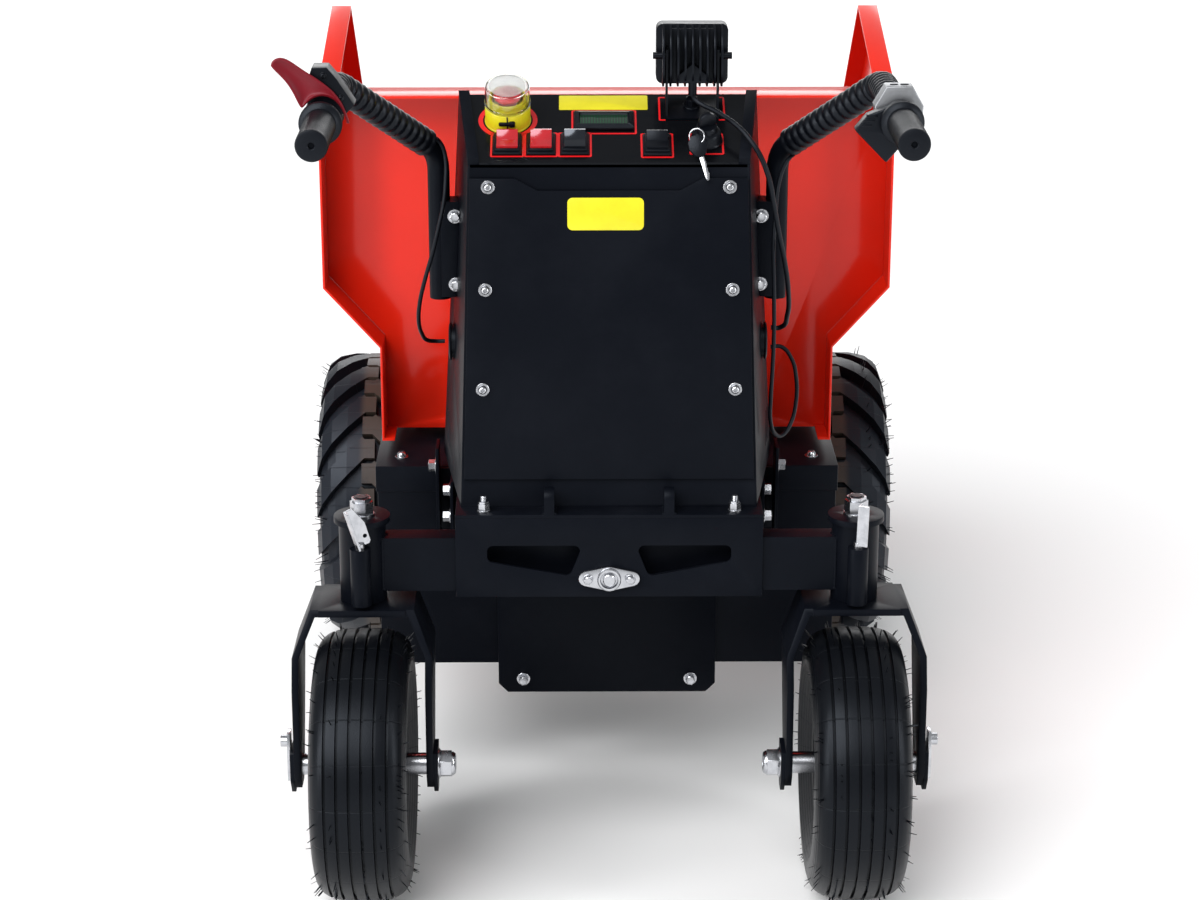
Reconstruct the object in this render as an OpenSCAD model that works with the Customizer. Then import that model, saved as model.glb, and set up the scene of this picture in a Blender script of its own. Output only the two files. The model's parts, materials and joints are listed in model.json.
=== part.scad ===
// Walk-behind electric mini dumper with a front-tipping skip.
// X runs across the machine, Y forwards from the operator, Z up, in millimetres.
// Stations along Y are measured from the caster axle line; place() centres the machine.

/* [Drive wheels] */
// Distance from the caster axle line forward to the drive axle
wheelbase = 845; // [835:5:880]
// Drive tyre diameter over the lugs
drive_d = 410; // [396:2:412]
// Drive tyre width
drive_w = 150; // [140:2:166]
// Distance between the middles of the drive tyres
drive_track = 660; // [650:2:720]
// Diameter of the drive rim's bead seat
drive_seat_d = 203; // [190:1:215]
// Diameter of the drive shafts
drive_shaft_d = 30; // [24:1:34]
// Room between the drive tyres and the chassis box
drive_room = 25; // [20:1:35]

/* [Casters] */
// Caster tyre diameter
caster_d = 322; // [300:2:326]
// Caster tyre width
caster_w = 112; // [104:2:130]
// Distance between the swivel axes
caster_track = 580; // [570:2:620]
// Distance from the swivel axis back to the caster axle
caster_trail = 53; // [40:1:58]
// Diameter of the caster rim's bead seat
caster_seat_d = 152; // [140:1:160]
// Room between a caster tyre and its fork leg
fork_room = 18; // [7:1:20]
// Thickness of the fork's flat bar
fork_t = 8; // [6:1:10]
// Room between a caster tyre and the fork's top plate
fork_head_room = 22; // [16:1:30]
// Diameter of the swivel bolts and caster axles
bolt_d = 20; // [16:1:22]
// Outer diameter of the head tubes
head_d = 55; // [48:1:60]
// Height of the head tubes
head_h = 97; // [90:1:110]

/* [Chassis] */
// Width of the chassis box
box_w = 582; // [520:2:600]
// Station of the chassis box's rear face
box_y = 295; // [290:1:305]
// Height of the chassis box's floor above the ground
box_z = 166; // [150:1:180]
// Height of the chassis box
box_h = 268; // [260:1:272]
// Thickness of the folded sheet
sheet = 3; // [2:0.5:4]
// Width of the belly tray
tray_w = 278; // [240:2:300]
// Depth of the belly tray below the chassis box
tray_drop = 35; // [25:1:45]
// Width of the rear spine and its apron
spine_w = 360; // [330:2:380]
// Height of the spine's deck above the ground
deck_z = 462; // [458:1:475]
// Thickness of the spine's plate
spine_t = 4; // [3:0.5:5]
// Depth of the apron below the deck
apron_h = 102; // [96:1:104]
// Station of the apron's rear face
apron_y = 33; // [28:1:34]
// Height of the rear beam
beam_h = 66; // [56:1:68]
// Depth of the rear beam
beam_t = 30; // [26:1:32]

/* [Console] */
// Half width of the console at its near bottom edge
console_near_low = 174; // [165:1:178]
// Half width of the console at its near top edge
console_near_top = 162; // [150:1:165]
// Half width of the console at its far top edge
console_far_top = 176; // [170:1:182]
// Station of the console's near bottom edge
console_low_y = 62; // [58:1:66]
// Station of the console's near top edge
console_top_y = 110; // [100:1:120]
// Length of the control panel along its slope
panel_l = 132; // [128:1:140]
// Slope of the control panel
panel_slope = 25; // [20:1:30]
// Height of the panel's near edge above the ground
panel_z = 861; // [845:1:870]
// Station of the console's front wall at the deck
console_front_y = 270; // [262:1:275]

/* [Skip] */
// Outer width of the skip at its rim
skip_w = 710; // [690:2:730]
// Outer width of the skip at its floor
skip_floor_w = 571; // [550:1:580]
// Height of the skip's floor above the ground
skip_z = 449; // [447:1:455]
// Station of the skip's rear edges
skip_rear_y = 350; // [340:1:360]
// Recess of the rear wall behind the rear edges
skip_recess = 55; // [40:1:65]
// Height of the skip's rear top edge above the ground
skip_rear_z = 897; // [880:1:910]
// Station and height of the highest corner of the sides
skip_apex_y = 603; // [580:1:630]
// Height of that corner above the ground
skip_apex_z = 962; // [945:1:975]
// Distance from the drive axle forward to the front lip
lip_ahead = 245; // [225:1:265]
// Height of the front lip above the ground
skip_lip_z = 553; // [540:1:570]
// Distance from the drive axle forward to where the floor starts to rise
ramp_ahead = 75; // [55:1:90]
// Width of the folded rim
skip_rim = 25; // [18:1:30]
// Distance from the drive axle forward to the tipping axis
tip_ahead = 105; // [100:1:115]
// Height of the tipping axis above the ground
tip_z = 430; // [428:1:431]
// Diameter of the tipping pin
tip_pin_d = 16; // [12:1:18]

/* [Handlebars] */
// Diameter of the handlebar tube
bar_d = 26; // [22:1:28]
// Distance of the upright tube from the middle
bar_x = 200; // [198:1:206]
// Distance of the grips from the middle
grip_x = 305; // [290:1:320]
// Station of the grips' rear ends
grip_end_y = -260; // [-280:1:-240]
// Height of the grips above the ground
grip_z = 964; // [950:1:975]
// Diameter of the grips
grip_d = 34; // [31:1:36]
// Length of the grips
grip_l = 115; // [105:1:125]

/* [Hidden] */
$fn = 64;
run = 0.05;
seat = 0.3;
drive_r = drive_d / 2;
caster_r = caster_d / 2;
skip_lip_y = wheelbase + lip_ahead;
skip_ramp_y = wheelbase + ramp_ahead;
tip_y = wheelbase + tip_ahead;
mid_y = (grip_end_y + skip_lip_y) / 2;
box_top = box_z + box_h;
lid_h = 34;
lid_step = 2;
box_front_y = wheelbase - drive_r - drive_room;
fork_top = caster_d + fork_head_room + fork_t;
head_z = fork_top + seat;
head_top = head_z + head_h;
swivel_y = caster_trail;
swivel_x = caster_track / 2;
console_far_y = console_top_y + panel_l * cos(panel_slope);
console_far_z = panel_z + panel_l * sin(panel_slope);
skip_half = skip_w / 2;
skip_floor_half = skip_floor_w / 2;
skip_wall_y = skip_rear_y + skip_recess;
skip_knee_z = skip_z + 123;
skip_shoulder_z = skip_knee_z + (skip_half - skip_floor_half) * 1.12;
rail_in = 145;
rail_w = 40;
rail_top = 400;
rail_h = 60;
// Actuator: base pin, rod pin and sideways place
act_x = 68;
act_base = [wheelbase - 185, drive_r - 5];
act_eye = [wheelbase + 35, skip_z - 19];
act_angle = atan2(act_eye[1] - act_base[1], act_eye[0] - act_base[0]);
act_l = norm(act_eye - act_base);
// Free cables, along points chosen by hand
cable_left_path = [
    [-200.6, 175.2, 878.1], [-197, 180, 873], [-193, 181, 865], [-190, 177, 850], [-190, 170, 832],
    [-192, 161, 808], [-198, 152, 780], [-206, 148, 748], [-216, 152, 714], [-223, 158, 684],
    [-225, 164, 660], [-222, 178, 640], [-217, 191, 629], [-207, 200, 625], [-196.1, 200, 625]];
cable_right_path = [
    [216.5, 172.9, 859], [213, 176, 855], [207, 176, 846], [200, 170, 826], [196, 156, 798], [193, 140, 760],
    [194, 134, 710], [195, 132, 650], [194, 132, 606], [193, 136, 570], [194, 144, 540], [200, 154, 522],
    [210, 166, 516], [220, 176, 526], [227, 184, 552], [227, 190, 582], [221, 197, 604], [209, 200, 617],
    [196.1, 200, 617]];
lamp_cable_path = [
    [98, 181, 927.9], [98, 181, 924], [100, 179, 918], [107, 173, 914], [122, 165, 913], [142, 156, 909],
    [160, 147, 901], [176, 138, 882], [186, 132, 848], [192, 129, 804], [201, 134, 768], [210, 146, 730],
    [214, 160, 694], [214, 180, 662], [207, 200, 641], [196.1, 200, 641]];

// Colours
black_paint = "#1c2026";
red_paint = "#d8281c";
zinc = "#c8ccd0";
tyre_black = "#2b2a29";
plastic_black = "#16181a";
yellow = "#f0dc20";

// Placing
module place() { translate([0, -mid_y, 0]) children(); }
module both_sides() { children(); mirror([1, 0, 0]) children(); }
module across(at, from, len, d) {
    translate([from, at[0], at[1]]) rotate([0, 90, 0]) cylinder(h = len, d = d);
}
module along_y(at, from, len, d) {
    translate([at[0], from, at[1]]) rotate([-90, 0, 0]) cylinder(h = len, d = d);
}
module block(low, high) { translate(low) cube(high - low); }
// Plate with an outline in the Y-Z plane, from x to x + t
module side_plate(x, t) { translate([x, 0, 0]) rotate([90, 0, 90]) linear_extrude(t) children(); }
// Plate with an outline in the X-Z plane, from y to y + t
module cross_plate(y, t) { translate([0, y + t, 0]) rotate([90, 0, 0]) linear_extrude(t) children(); }
module on_panel() { translate([0, console_top_y, panel_z]) rotate([panel_slope, 0, 0]) children(); }

// Line through the points with rounded corners of radius r
function unit(v) = v / norm(v);
function turn(p, i) = acos(unit(p[i] - p[i - 1]) * unit(p[i + 1] - p[i]));
function corner(p, i, r, steps) =
    let (u = unit(p[i] - p[i - 1]), w = unit(p[i + 1] - p[i]), n = unit(w - u * (u * w)), f = turn(p, i),
        c = p[i] - u * r * tan(f / 2) + n * r)
    [for (k = [0 : steps]) c + r * (u * sin(f * k / steps) - n * cos(f * k / steps))];
function rounded_line(p, r, steps) =
    concat([p[0]], [for (i = [1 : len(p) - 2]) each corner(p, i, r, steps)], [p[len(p) - 1]]);

// Round section swept along points, with one ring at each point and an optional bore.
// Each ring is set out from a direction that no swept line runs along.
sweep_side = [0.6, -0.8, 0];
function step_at(p, i) = unit(p[i + 1] - p[i]);
function tangent(p, i) = unit(step_at(p, min(i, len(p) - 2)) + step_at(p, max(i - 1, 0)));
function ring(p, i, r, sides) =
    let (t = tangent(p, i), a = unit(cross(t, sweep_side)), b = cross(t, a))
    [for (k = [0 : sides - 1]) p[i] + r * (cos(360 * k / sides) * a + sin(360 * k / sides) * b)];
function skin(from, to, sides) = [for (k = [0 : sides - 1])
    let (m = (k + 1) % sides) each [[from + k, from + m, to + m], [from + k, to + m, to + k]]];
module swept(p, d, sides, bore = 0) {
    last = len(p) - 1;
    inner = (last + 1) * sides;
    outside = [for (i = [0 : last]) each ring(p, i, d / 2, sides)];
    inside = [for (i = [0 : last]) each ring(p, i, bore / 2, sides)];
    wall = [for (i = [0 : last - 1]) each skin(i * sides, (i + 1) * sides, sides)];
    bore_wall = [for (i = [0 : last - 1]) each skin(inner + (i + 1) * sides, inner + i * sides, sides)];
    caps = [[for (k = [sides - 1 : -1 : 0]) k], [for (k = [0 : sides - 1]) last * sides + k]];
    rims = concat(skin(inner, 0, sides), skin(last * sides, inner + last * sides, sides));
    if (bore > 0) polyhedron(concat(outside, inside), concat(wall, bore_wall, rims));
    else polyhedron(outside, concat(wall, caps));
}

// Tyre section: half of a rounded crown over two straight bead walls
function power(v, e) = sign(v) * pow(abs(v), e);
function tyre_section(seat_r, crown_r, w, bead_w, lip) =
    let (low = seat_r + lip, mid = low + (crown_r - low) * 0.42, e = 0.62)
    concat([[seat_r, -bead_w / 2], [low, -bead_w / 2]],
        [for (a = [-90 : 15 : 90]) [mid + (crown_r - mid) * power(cos(a), e), w / 2 * power(sin(a), e)]],
        [[low, bead_w / 2], [seat_r, bead_w / 2]]);
module on_axle(x, y, z) { translate([x, y, z]) rotate([0, 90, 0]) children(); }

// Rim: barrel, two flanges, a disc and a hub
module rim_section(seat_r, bead_w, lip, disc_x, hub_r, bore_r, hub_from, hub_to) {
    barrel_t = 4;
    flange_t = 5;
    translate([seat_r - barrel_t, -bead_w / 2 - flange_t]) square([barrel_t, bead_w + 2 * flange_t]);
    for (y = [-bead_w / 2 - flange_t, bead_w / 2])
        translate([seat_r - barrel_t, y]) square([barrel_t + lip, flange_t]);
    translate([bore_r, disc_x - 3]) square([seat_r - bore_r - barrel_t / 2, 6]);
    translate([bore_r, hub_from]) square([hub_r - bore_r, hub_to - hub_from]);
}

drive_bead = drive_w - 36;
caster_bead = caster_w - 34;
bead_lip = 11;

// Chevron lugs: bars cut from a ring over the carcass, from past the middle line to the shoulder.
// The two rows are half a step apart.
lugs = 18;
lug_h = 15;
lug_slant = 45;
lug_w = 25;
lug_head_w = 28;
lug_past = 9;
lug_end = drive_w / 2 - 1;
carcass_w = drive_w - 6;
carcass_r = drive_r - lug_h;
lug_section = [[carcass_r - 8, -lug_past], [drive_r, -lug_past], [drive_r, lug_end - 44],
    [drive_r - 4, lug_end - 22], [drive_r - 14, lug_end - 8], [drive_r - 35, lug_end],
    [carcass_r - 40, lug_end - 4], [carcass_r - 24, lug_end - 14], [carcass_r - 8, lug_end - 40]];
module lug() {
    inner = carcass_r - 50;
    deep = drive_r - inner + 15;
    intersection() {
        rotate(-30) rotate_extrude(angle = 60) polygon(lug_section);
        union() {
            translate([inner, -lug_head_w / 2, -2 * lug_past]) cube([deep, lug_head_w, 4 * lug_past - 2]);
            translate([inner, 0, lug_past]) rotate([-lug_slant, 0, 0])
                translate([0, -lug_w / 2, -lug_w / 2]) cube([deep, lug_w, 2 * lug_end]);
        }
    }
}
module drive_tyre(side) {
    step = 360 / lugs;
    start = 3;
    color(tyre_black) place() on_axle(side * drive_track / 2, wheelbase, drive_r) {
        rotate_extrude() polygon(tyre_section(drive_seat_d / 2, carcass_r, carcass_w, drive_bead, bead_lip));
        for (i = [0 : lugs - 1]) {
            rotate(start + i * step) lug();
            rotate(start + (i + 0.5) * step) mirror([0, 0, 1]) lug();
        }
    }
}
module drive_tyre_left() { drive_tyre(-1); }
module drive_tyre_right() { drive_tyre(1); }

drive_hub_in = 70;
drive_stub = 70;
module drive_rim(side) {
    shaft_r = drive_shaft_d / 2;
    color(zinc) place() translate([0, wheelbase, drive_r]) mirror([side < 0 ? 1 : 0, 0, 0])
        on_axle(drive_track / 2, 0, 0) {
            rotate_extrude()
                rim_section(drive_seat_d / 2, drive_bead, bead_lip, 10, 36, 0, -drive_hub_in, 44);
            translate([0, 0, -drive_hub_in - drive_stub]) cylinder(h = drive_stub + 1, r = shaft_r);
        }
}
module drive_rim_left() { drive_rim(-1); }
module drive_rim_right() { drive_rim(1); }

// Caster pieces, drawn about the caster wheel's middle
rib_grooves = 6;
groove_w = 3.5;
groove_deep = 4;
module caster_tyre(side) {
    pitch = caster_w * 0.118;
    color(tyre_black) place() on_axle(side * swivel_x, 0, caster_r) difference() {
        rotate_extrude() polygon(tyre_section(caster_seat_d / 2, caster_r, caster_w, caster_bead, bead_lip));
        for (i = [0 : rib_grooves - 1])
            rotate_extrude()
                translate([caster_r - groove_deep, (i - (rib_grooves - 1) / 2) * pitch - groove_w / 2])
                square([groove_deep + 5, groove_w]);
    }
}
module caster_tyre_left() { caster_tyre(-1); }
module caster_tyre_right() { caster_tyre(1); }

fork_in = caster_w / 2 + fork_room;
fork_out = fork_in + fork_t;
module caster_rim(side) {
    color(black_paint) place() on_axle(side * swivel_x, 0, caster_r)
        rotate_extrude() rim_section(caster_seat_d / 2, caster_bead, bead_lip, 0, 22, bolt_d / 2 + run,
            -fork_in + seat, fork_in - seat);
}
module caster_rim_left() { caster_rim(-1); }
module caster_rim_right() { caster_rim(1); }

fork_plate_half = 61;
dropout_t = 5;
fork_slant = 45;
module fork_front_view() {
    plate_z = fork_top - fork_t;
    knee_z = plate_z - fork_slant;
    foot_z = caster_r - 24;
    polygon([[fork_plate_half - 12, fork_top], [fork_plate_half, fork_top], [fork_out, knee_z],
        [fork_out, foot_z], [fork_in, foot_z], [fork_in, knee_z], [fork_plate_half - 6, plate_z],
        [fork_plate_half - 12, plate_z]]);
}
module fork_side_view() {
    polygon([[swivel_y - 40, fork_top + 1], [swivel_y + 40, fork_top + 1], [swivel_y + 28, fork_top - 60],
        [26, caster_r - 4], [10, caster_r - 25], [-14, caster_r - 25], [-26, caster_r - 4],
        [-22, fork_top - 90]]);
}
module fork(side) {
    plate_l = 88;
    boss_h = 12;
    color(black_paint) place() translate([side * swivel_x, 0, 0]) difference() {
        union() {
            block([-fork_plate_half + 10, swivel_y - plate_l / 2, fork_top - fork_t],
                [fork_plate_half - 10, swivel_y + plate_l / 2, fork_top]);
            both_sides() intersection() {
                cross_plate(-100, 260) fork_front_view();
                side_plate(-120, 240) fork_side_view();
            }
            both_sides() side_plate(fork_out, dropout_t) translate([0, caster_r])
                polygon([[-22, 22], [22, 22], [22, -14], [9, -32], [-9, -32], [-22, -14]]);
        }
        across([0, caster_r], -150, 300, bolt_d);
        translate([0, swivel_y, fork_top - fork_t - boss_h]) cylinder(h = 60, d = bolt_d);
    }
}
module fork_left() { fork(-1); }
module fork_right() { fork(1); }

nut_h = 16;
nut_d = 34;
module swivel_bolt(side) {
    color(zinc) place() translate([side * swivel_x, swivel_y, 0]) {
        translate([0, 0, fork_top - fork_t])
            cylinder(h = head_top - fork_top + fork_t + nut_h + 8, d = bolt_d);
        translate([0, 0, fork_top - fork_t - 7]) cylinder(h = 7, d = 32, $fn = 6);
        translate([0, 0, head_top + 7 + seat]) cylinder(h = nut_h, d = nut_d, $fn = 6);
    }
}
module swivel_bolt_left() { swivel_bolt(-1); }
module swivel_bolt_right() { swivel_bolt(1); }

// Axle with a lock nut on the inner side and a keeper plate with its screw on the outer side
module caster_axle(side) {
    reach = fork_out + dropout_t;
    keeper_t = 4;
    screw_z = 30;
    color(zinc) place() translate([side * swivel_x, 0, caster_r]) mirror([side < 0 ? 1 : 0, 0, 0]) {
        across([0, 0], -reach - nut_h - 4, 2 * reach + nut_h + 4 + keeper_t, bolt_d);
        translate([-reach - nut_h, 0, 0]) rotate([0, 90, 0]) cylinder(h = nut_h, d = nut_d, $fn = 6);
        side_plate(reach, keeper_t) polygon([[-13, -16], [13, -16], [13, 14], [9, 42], [-9, 42], [-13, 14]]);
        across([0, screw_z], reach + keeper_t - 1, 9, 14);
    }
}
module caster_axle_left() { caster_axle(-1); }
module caster_axle_right() { caster_axle(1); }

// Rear beam with head tubes and the tubes of the swivel locks
lock_d = 24;
lock_pin_d = 12;
lock_z = fork_top + 6;
lock_h = 70;
lock_y = swivel_y - head_d / 2 - lock_d / 2 + 2;
beam_z = fork_top + 14;
beam_mid_y = swivel_y;
module rear_beam() {
    cap_h = 7;
    cap_d = head_d + 11;
    color(black_paint) place() difference() {
        union() {
            block([-swivel_x, beam_mid_y - beam_t / 2, beam_z],
                [swivel_x, beam_mid_y + beam_t / 2, beam_z + beam_h]);
            both_sides() {
                translate([swivel_x, swivel_y, head_z]) cylinder(h = head_h, d = head_d);
                translate([swivel_x, swivel_y, head_top]) cylinder(h = cap_h, d = cap_d);
                translate([swivel_x, lock_y, lock_z]) cylinder(h = lock_h, d = lock_d);
            }
        }
        both_sides() {
            translate([swivel_x, swivel_y, head_z - 1])
                cylinder(h = head_h + cap_h + 2, d = bolt_d + 2 * run);
            translate([swivel_x, lock_y, lock_z - 1]) cylinder(h = lock_h + 2, d = lock_pin_d);
        }
        along_y([0, pivot_z], beam_mid_y - beam_t, 2 * beam_t, pivot_d);
    }
}

module lock_pins() {
    leaf = 22;
    fold = 12;
    leaf_t = 3;
    leaf_h = 54;
    pin_from = lock_z + 22;
    color(zinc) place() for (side = [-1, 1]) translate([side * swivel_x, lock_y, 0]) {
        translate([0, 0, pin_from]) cylinder(h = lock_z + lock_h + 4 - pin_from, d = lock_pin_d);
        // Folded handle leaf, turned to its own place on each side
        translate([0, 0, lock_z + lock_h + 3]) rotate([0, side < 0 ? -14 : 4, side < 0 ? 60 : 0])
            translate([-leaf_t / 2, -leaf / 2 - 8, 0]) {
                cube([leaf_t, leaf, leaf_h]);
                cube([fold, leaf_t, leaf_h]);
            }
    }
}

// Spine: deck over two side plates, with two lifting lugs at its rear edge
pivot_z = 384;
pivot_d = 15;
spine_half = spine_w / 2;
spine_end = box_y - lid_step;
inner_y = beam_mid_y + beam_t / 2 + 5;
deck_lug_x = 70;
deck_lug_t = 12;
deck_lug_r = 13;
module rear_spine() {
    eye = [apron_y + deck_lug_r, deck_z + 17];
    color(black_paint) place() difference() {
        union() {
            block([-spine_half, apron_y, deck_z - spine_t], [spine_half, spine_end, deck_z]);
            both_sides() {
                block([spine_half - spine_t, inner_y + spine_t, deck_z - apron_h + 6],
                    [spine_half, spine_end, deck_z]);
                side_plate(deck_lug_x - deck_lug_t / 2, deck_lug_t) {
                    translate(eye) circle(r = deck_lug_r);
                    translate([apron_y, deck_z - 1]) square([2 * deck_lug_r, 18]);
                }
            }
        }
        across(eye, -spine_half, spine_w, 9);
    }
}
// Apron with two windows, and the inner plate behind the rear beam
module window() {
    offset(r = 7, $fn = 24) offset(delta = -7)
        polygon([[31, deck_z - 38], [143, deck_z - 38], [143, deck_z - 58], [46, deck_z - 76]]);
}
module rear_apron() {
    top = deck_z - spine_t;
    color(black_paint) place() difference() {
        union() {
            block([-spine_half, apron_y, deck_z - apron_h], [spine_half, apron_y + spine_t, top]);
            block([-spine_half, inner_y, deck_z - apron_h], [spine_half, inner_y + spine_t, top]);
        }
        both_sides() cross_plate(apron_y - 1, spine_t + 2) window();
        along_y([0, pivot_z], apron_y - 1, 80, pivot_d);
    }
}
// Brackets that bolt the spine to the chassis box: a flange and two upright plates on each side
module spine_brackets() {
    flange_t = 4;
    low = deck_z - apron_h - 7;
    color(black_paint) place() both_sides() {
        block([spine_half, spine_end - flange_t, low], [spine_half + 33, spine_end, low + 80]);
        block([spine_half + 11, spine_end - 58, low], [spine_half + 15, spine_end, low + 80]);
        block([spine_half + 29, spine_end - 42, low - 8], [spine_half + 33, spine_end, low + 118]);
    }
}

module beam_pivot() {
    flange_t = 5;
    color(zinc) place() {
        along_y([0, pivot_z], apron_y - 12, inner_y + spine_t + 8 - apron_y + 12, pivot_d);
        difference() {
            union() {
                along_y([0, pivot_z], apron_y - 10, 10, 28);
                cross_plate(apron_y - flange_t, flange_t)
                    polygon([[-35, -6], [-27, -13], [0, -15], [27, -13], [35, -6], [35, 6], [27, 13], [0, 15],
                        [-27, 13], [-35, 6]] + [for (i = [0 : 9]) [0, pivot_z]]);
            }
            along_y([0, pivot_z], apron_y - 20, 40, pivot_d);
        }
    }
}

// Chassis box with the edges of its lid standing proud, battery block and belly tray
module chassis_box() {
    half = box_w / 2 - lid_step;
    color(black_paint) place() difference() {
        union() {
            block([-half, box_y, box_z], [half, box_front_y, box_top - 1]);
            block([-half - lid_step, box_y - lid_step, box_top - lid_h],
                [half + lid_step, box_front_y, box_top]);
        }
        block([-half + sheet, box_y + sheet, box_z + sheet],
            [half - sheet, box_front_y - sheet, box_top - sheet]);
    }
}
battery_room = [60, 40, 66];
module battery_pack() {
    half = box_w / 2 - battery_room[0];
    color("#303848") place()
        block([-half, box_y + battery_room[1], box_z + sheet],
            [half, box_front_y - battery_room[1], box_top - battery_room[2]]);
}
module belly_tray() {
    half = tray_w / 2;
    edge = 12;
    deep = 15;
    low = box_z - tray_drop;
    long = box_front_y - box_y - 70;
    up = 150;
    module outline(inset, top) {
        polygon([[-half + inset, top], [-half + inset, low + edge], [-half + edge, low + inset],
            [half - edge, low + inset], [half - inset, low + edge], [half - inset, top]]);
    }
    color(black_paint) place() difference() {
        union() {
            cross_plate(box_y - deep, deep) outline(0, box_z + up);
            cross_plate(box_y - deep, deep + long) outline(0, box_z);
        }
        cross_plate(box_y - deep + sheet, deep + long - 2 * sheet) outline(sheet, box_z + 1);
        cross_plate(box_y - deep + sheet, deep) outline(sheet, box_z + up - sheet);
    }
}

// Front subframe: rails, cross tubes, axle saddles and the ears of the tipping pin
axle_tube_d = 56;
ear_r = 14;
front_end_y = tip_y + 25;
module front_subframe() {
    saddle_t = 12;
    color(black_paint) place() difference() {
        union() {
            both_sides() {
                block([rail_in, box_front_y, rail_top - rail_h], [rail_in + rail_w, front_end_y, rail_top]);
                side_plate(rail_in, saddle_t)
                    polygon([[wheelbase - 70, rail_top - 20], [wheelbase + 70, rail_top - 20],
                        [wheelbase + 45, drive_r], [wheelbase + 30, drive_r - 44],
                        [wheelbase - 30, drive_r - 44], [wheelbase - 45, drive_r]]);
                side_plate(rail_in, saddle_t) {
                    polygon([[tip_y - 40, rail_top - 5], [tip_y - ear_r, tip_z], [tip_y + ear_r, tip_z],
                        [tip_y + 20, rail_top - 5]]);
                    translate([tip_y, tip_z]) circle(r = ear_r);
                }
            }
            for (y = [box_front_y + 5, front_end_y - 40])
                block([-rail_in - 1, y, rail_top - rail_h], [rail_in + 1, y + 40, rail_top - rail_h + 40]);
            // Lugs that carry the actuator's base
            for (x = [act_x - 22, act_x + 14]) side_plate(x, 8) {
                translate(act_base) circle(r = 16);
                polygon([[box_front_y, act_base[1] - 30], [act_base[0], act_base[1] - 16],
                    [act_base[0], act_base[1] + 16], [box_front_y, act_base[1] + 30]]);
            }
        }
        both_sides() across([wheelbase, drive_r], rail_in - 1, saddle_t + 2, axle_tube_d);
        across([tip_y, tip_z], -200, 400, tip_pin_d);
        across(act_base, act_x - 40, 80, 12);
    }
}
module tip_pin() {
    reach = rail_in + 20;
    color(zinc) place() across([tip_y, tip_z], -reach, 2 * reach, tip_pin_d);
}

gear_neck = 95;
gear_x = -30;
gear_up = 12;
motor_d = 112;
motor_room = 17;
module transaxle() {
    tube_end = drive_track / 2 - drive_hub_in - seat;
    case_w = 130;
    case_r = 72;
    color(black_paint) place() difference() {
        union() {
            across([wheelbase, drive_r], -tube_end, 2 * tube_end, axle_tube_d);
            translate([0, wheelbase, drive_r]) rotate([0, 90, 0]) rotate_extrude()
                polygon([[0, -case_w / 2], [44, -case_w / 2], [62, -case_w / 2 + 14],
                    [case_r, -case_w / 2 + 34], [case_r, case_w / 2 - 34], [62, case_w / 2 - 14],
                    [44, case_w / 2], [0, case_w / 2]]);
            along_y([gear_x, drive_r + gear_up], wheelbase - gear_neck, 60, motor_d - 16);
        }
        both_sides() across([wheelbase, drive_r], tube_end - drive_stub - 2, drive_stub + 3,
            drive_shaft_d + 2 * run);
    }
}
module drive_motor() {
    from = box_front_y + motor_room;
    color("#3a3d42") place()
        along_y([gear_x, drive_r + gear_up], from, wheelbase - gear_neck - from, motor_d);
}

// Console: a tapered sheet box, its rear cover and the sloping control panel.
// Each side wall is one flat plane through its near bottom, near top and far top corners.
top_dy = console_top_y - console_low_y;
top_dz = panel_z - deck_z;
far_dy = console_far_y - console_low_y;
far_dz = console_far_z - deck_z;
top_dx = console_near_top - console_near_low;
far_dx = console_far_top - console_near_low;
side_det = top_dy * far_dz - far_dy * top_dz;
side_y = (top_dx * far_dz - far_dx * top_dz) / side_det;
side_z = (top_dy * far_dx - far_dy * top_dx) / side_det;
function console_half(y, z) = console_near_low + side_y * (y - console_low_y) + side_z * (z - deck_z);
function console_corner(side, y, z, in) = [side * (console_half(y, z) - in), y, z];
function console_level(near_y, far_y, near_z, far_z, in) = [
    console_corner(-1, near_y, near_z, in), console_corner(1, near_y, near_z, in),
    console_corner(1, far_y - in, far_z, in), console_corner(-1, far_y - in, far_z, in)];
box_faces = [[0, 1, 2, 3], [4, 5, 1, 0], [7, 6, 5, 4], [5, 6, 2, 1], [6, 7, 3, 2], [7, 4, 0, 3]];
module console_solid(in) {
    polyhedron(concat(console_level(console_low_y, console_front_y, deck_z, deck_z, in),
        console_level(console_top_y, console_far_y, panel_z, console_far_z, in)), box_faces);
}
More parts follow.
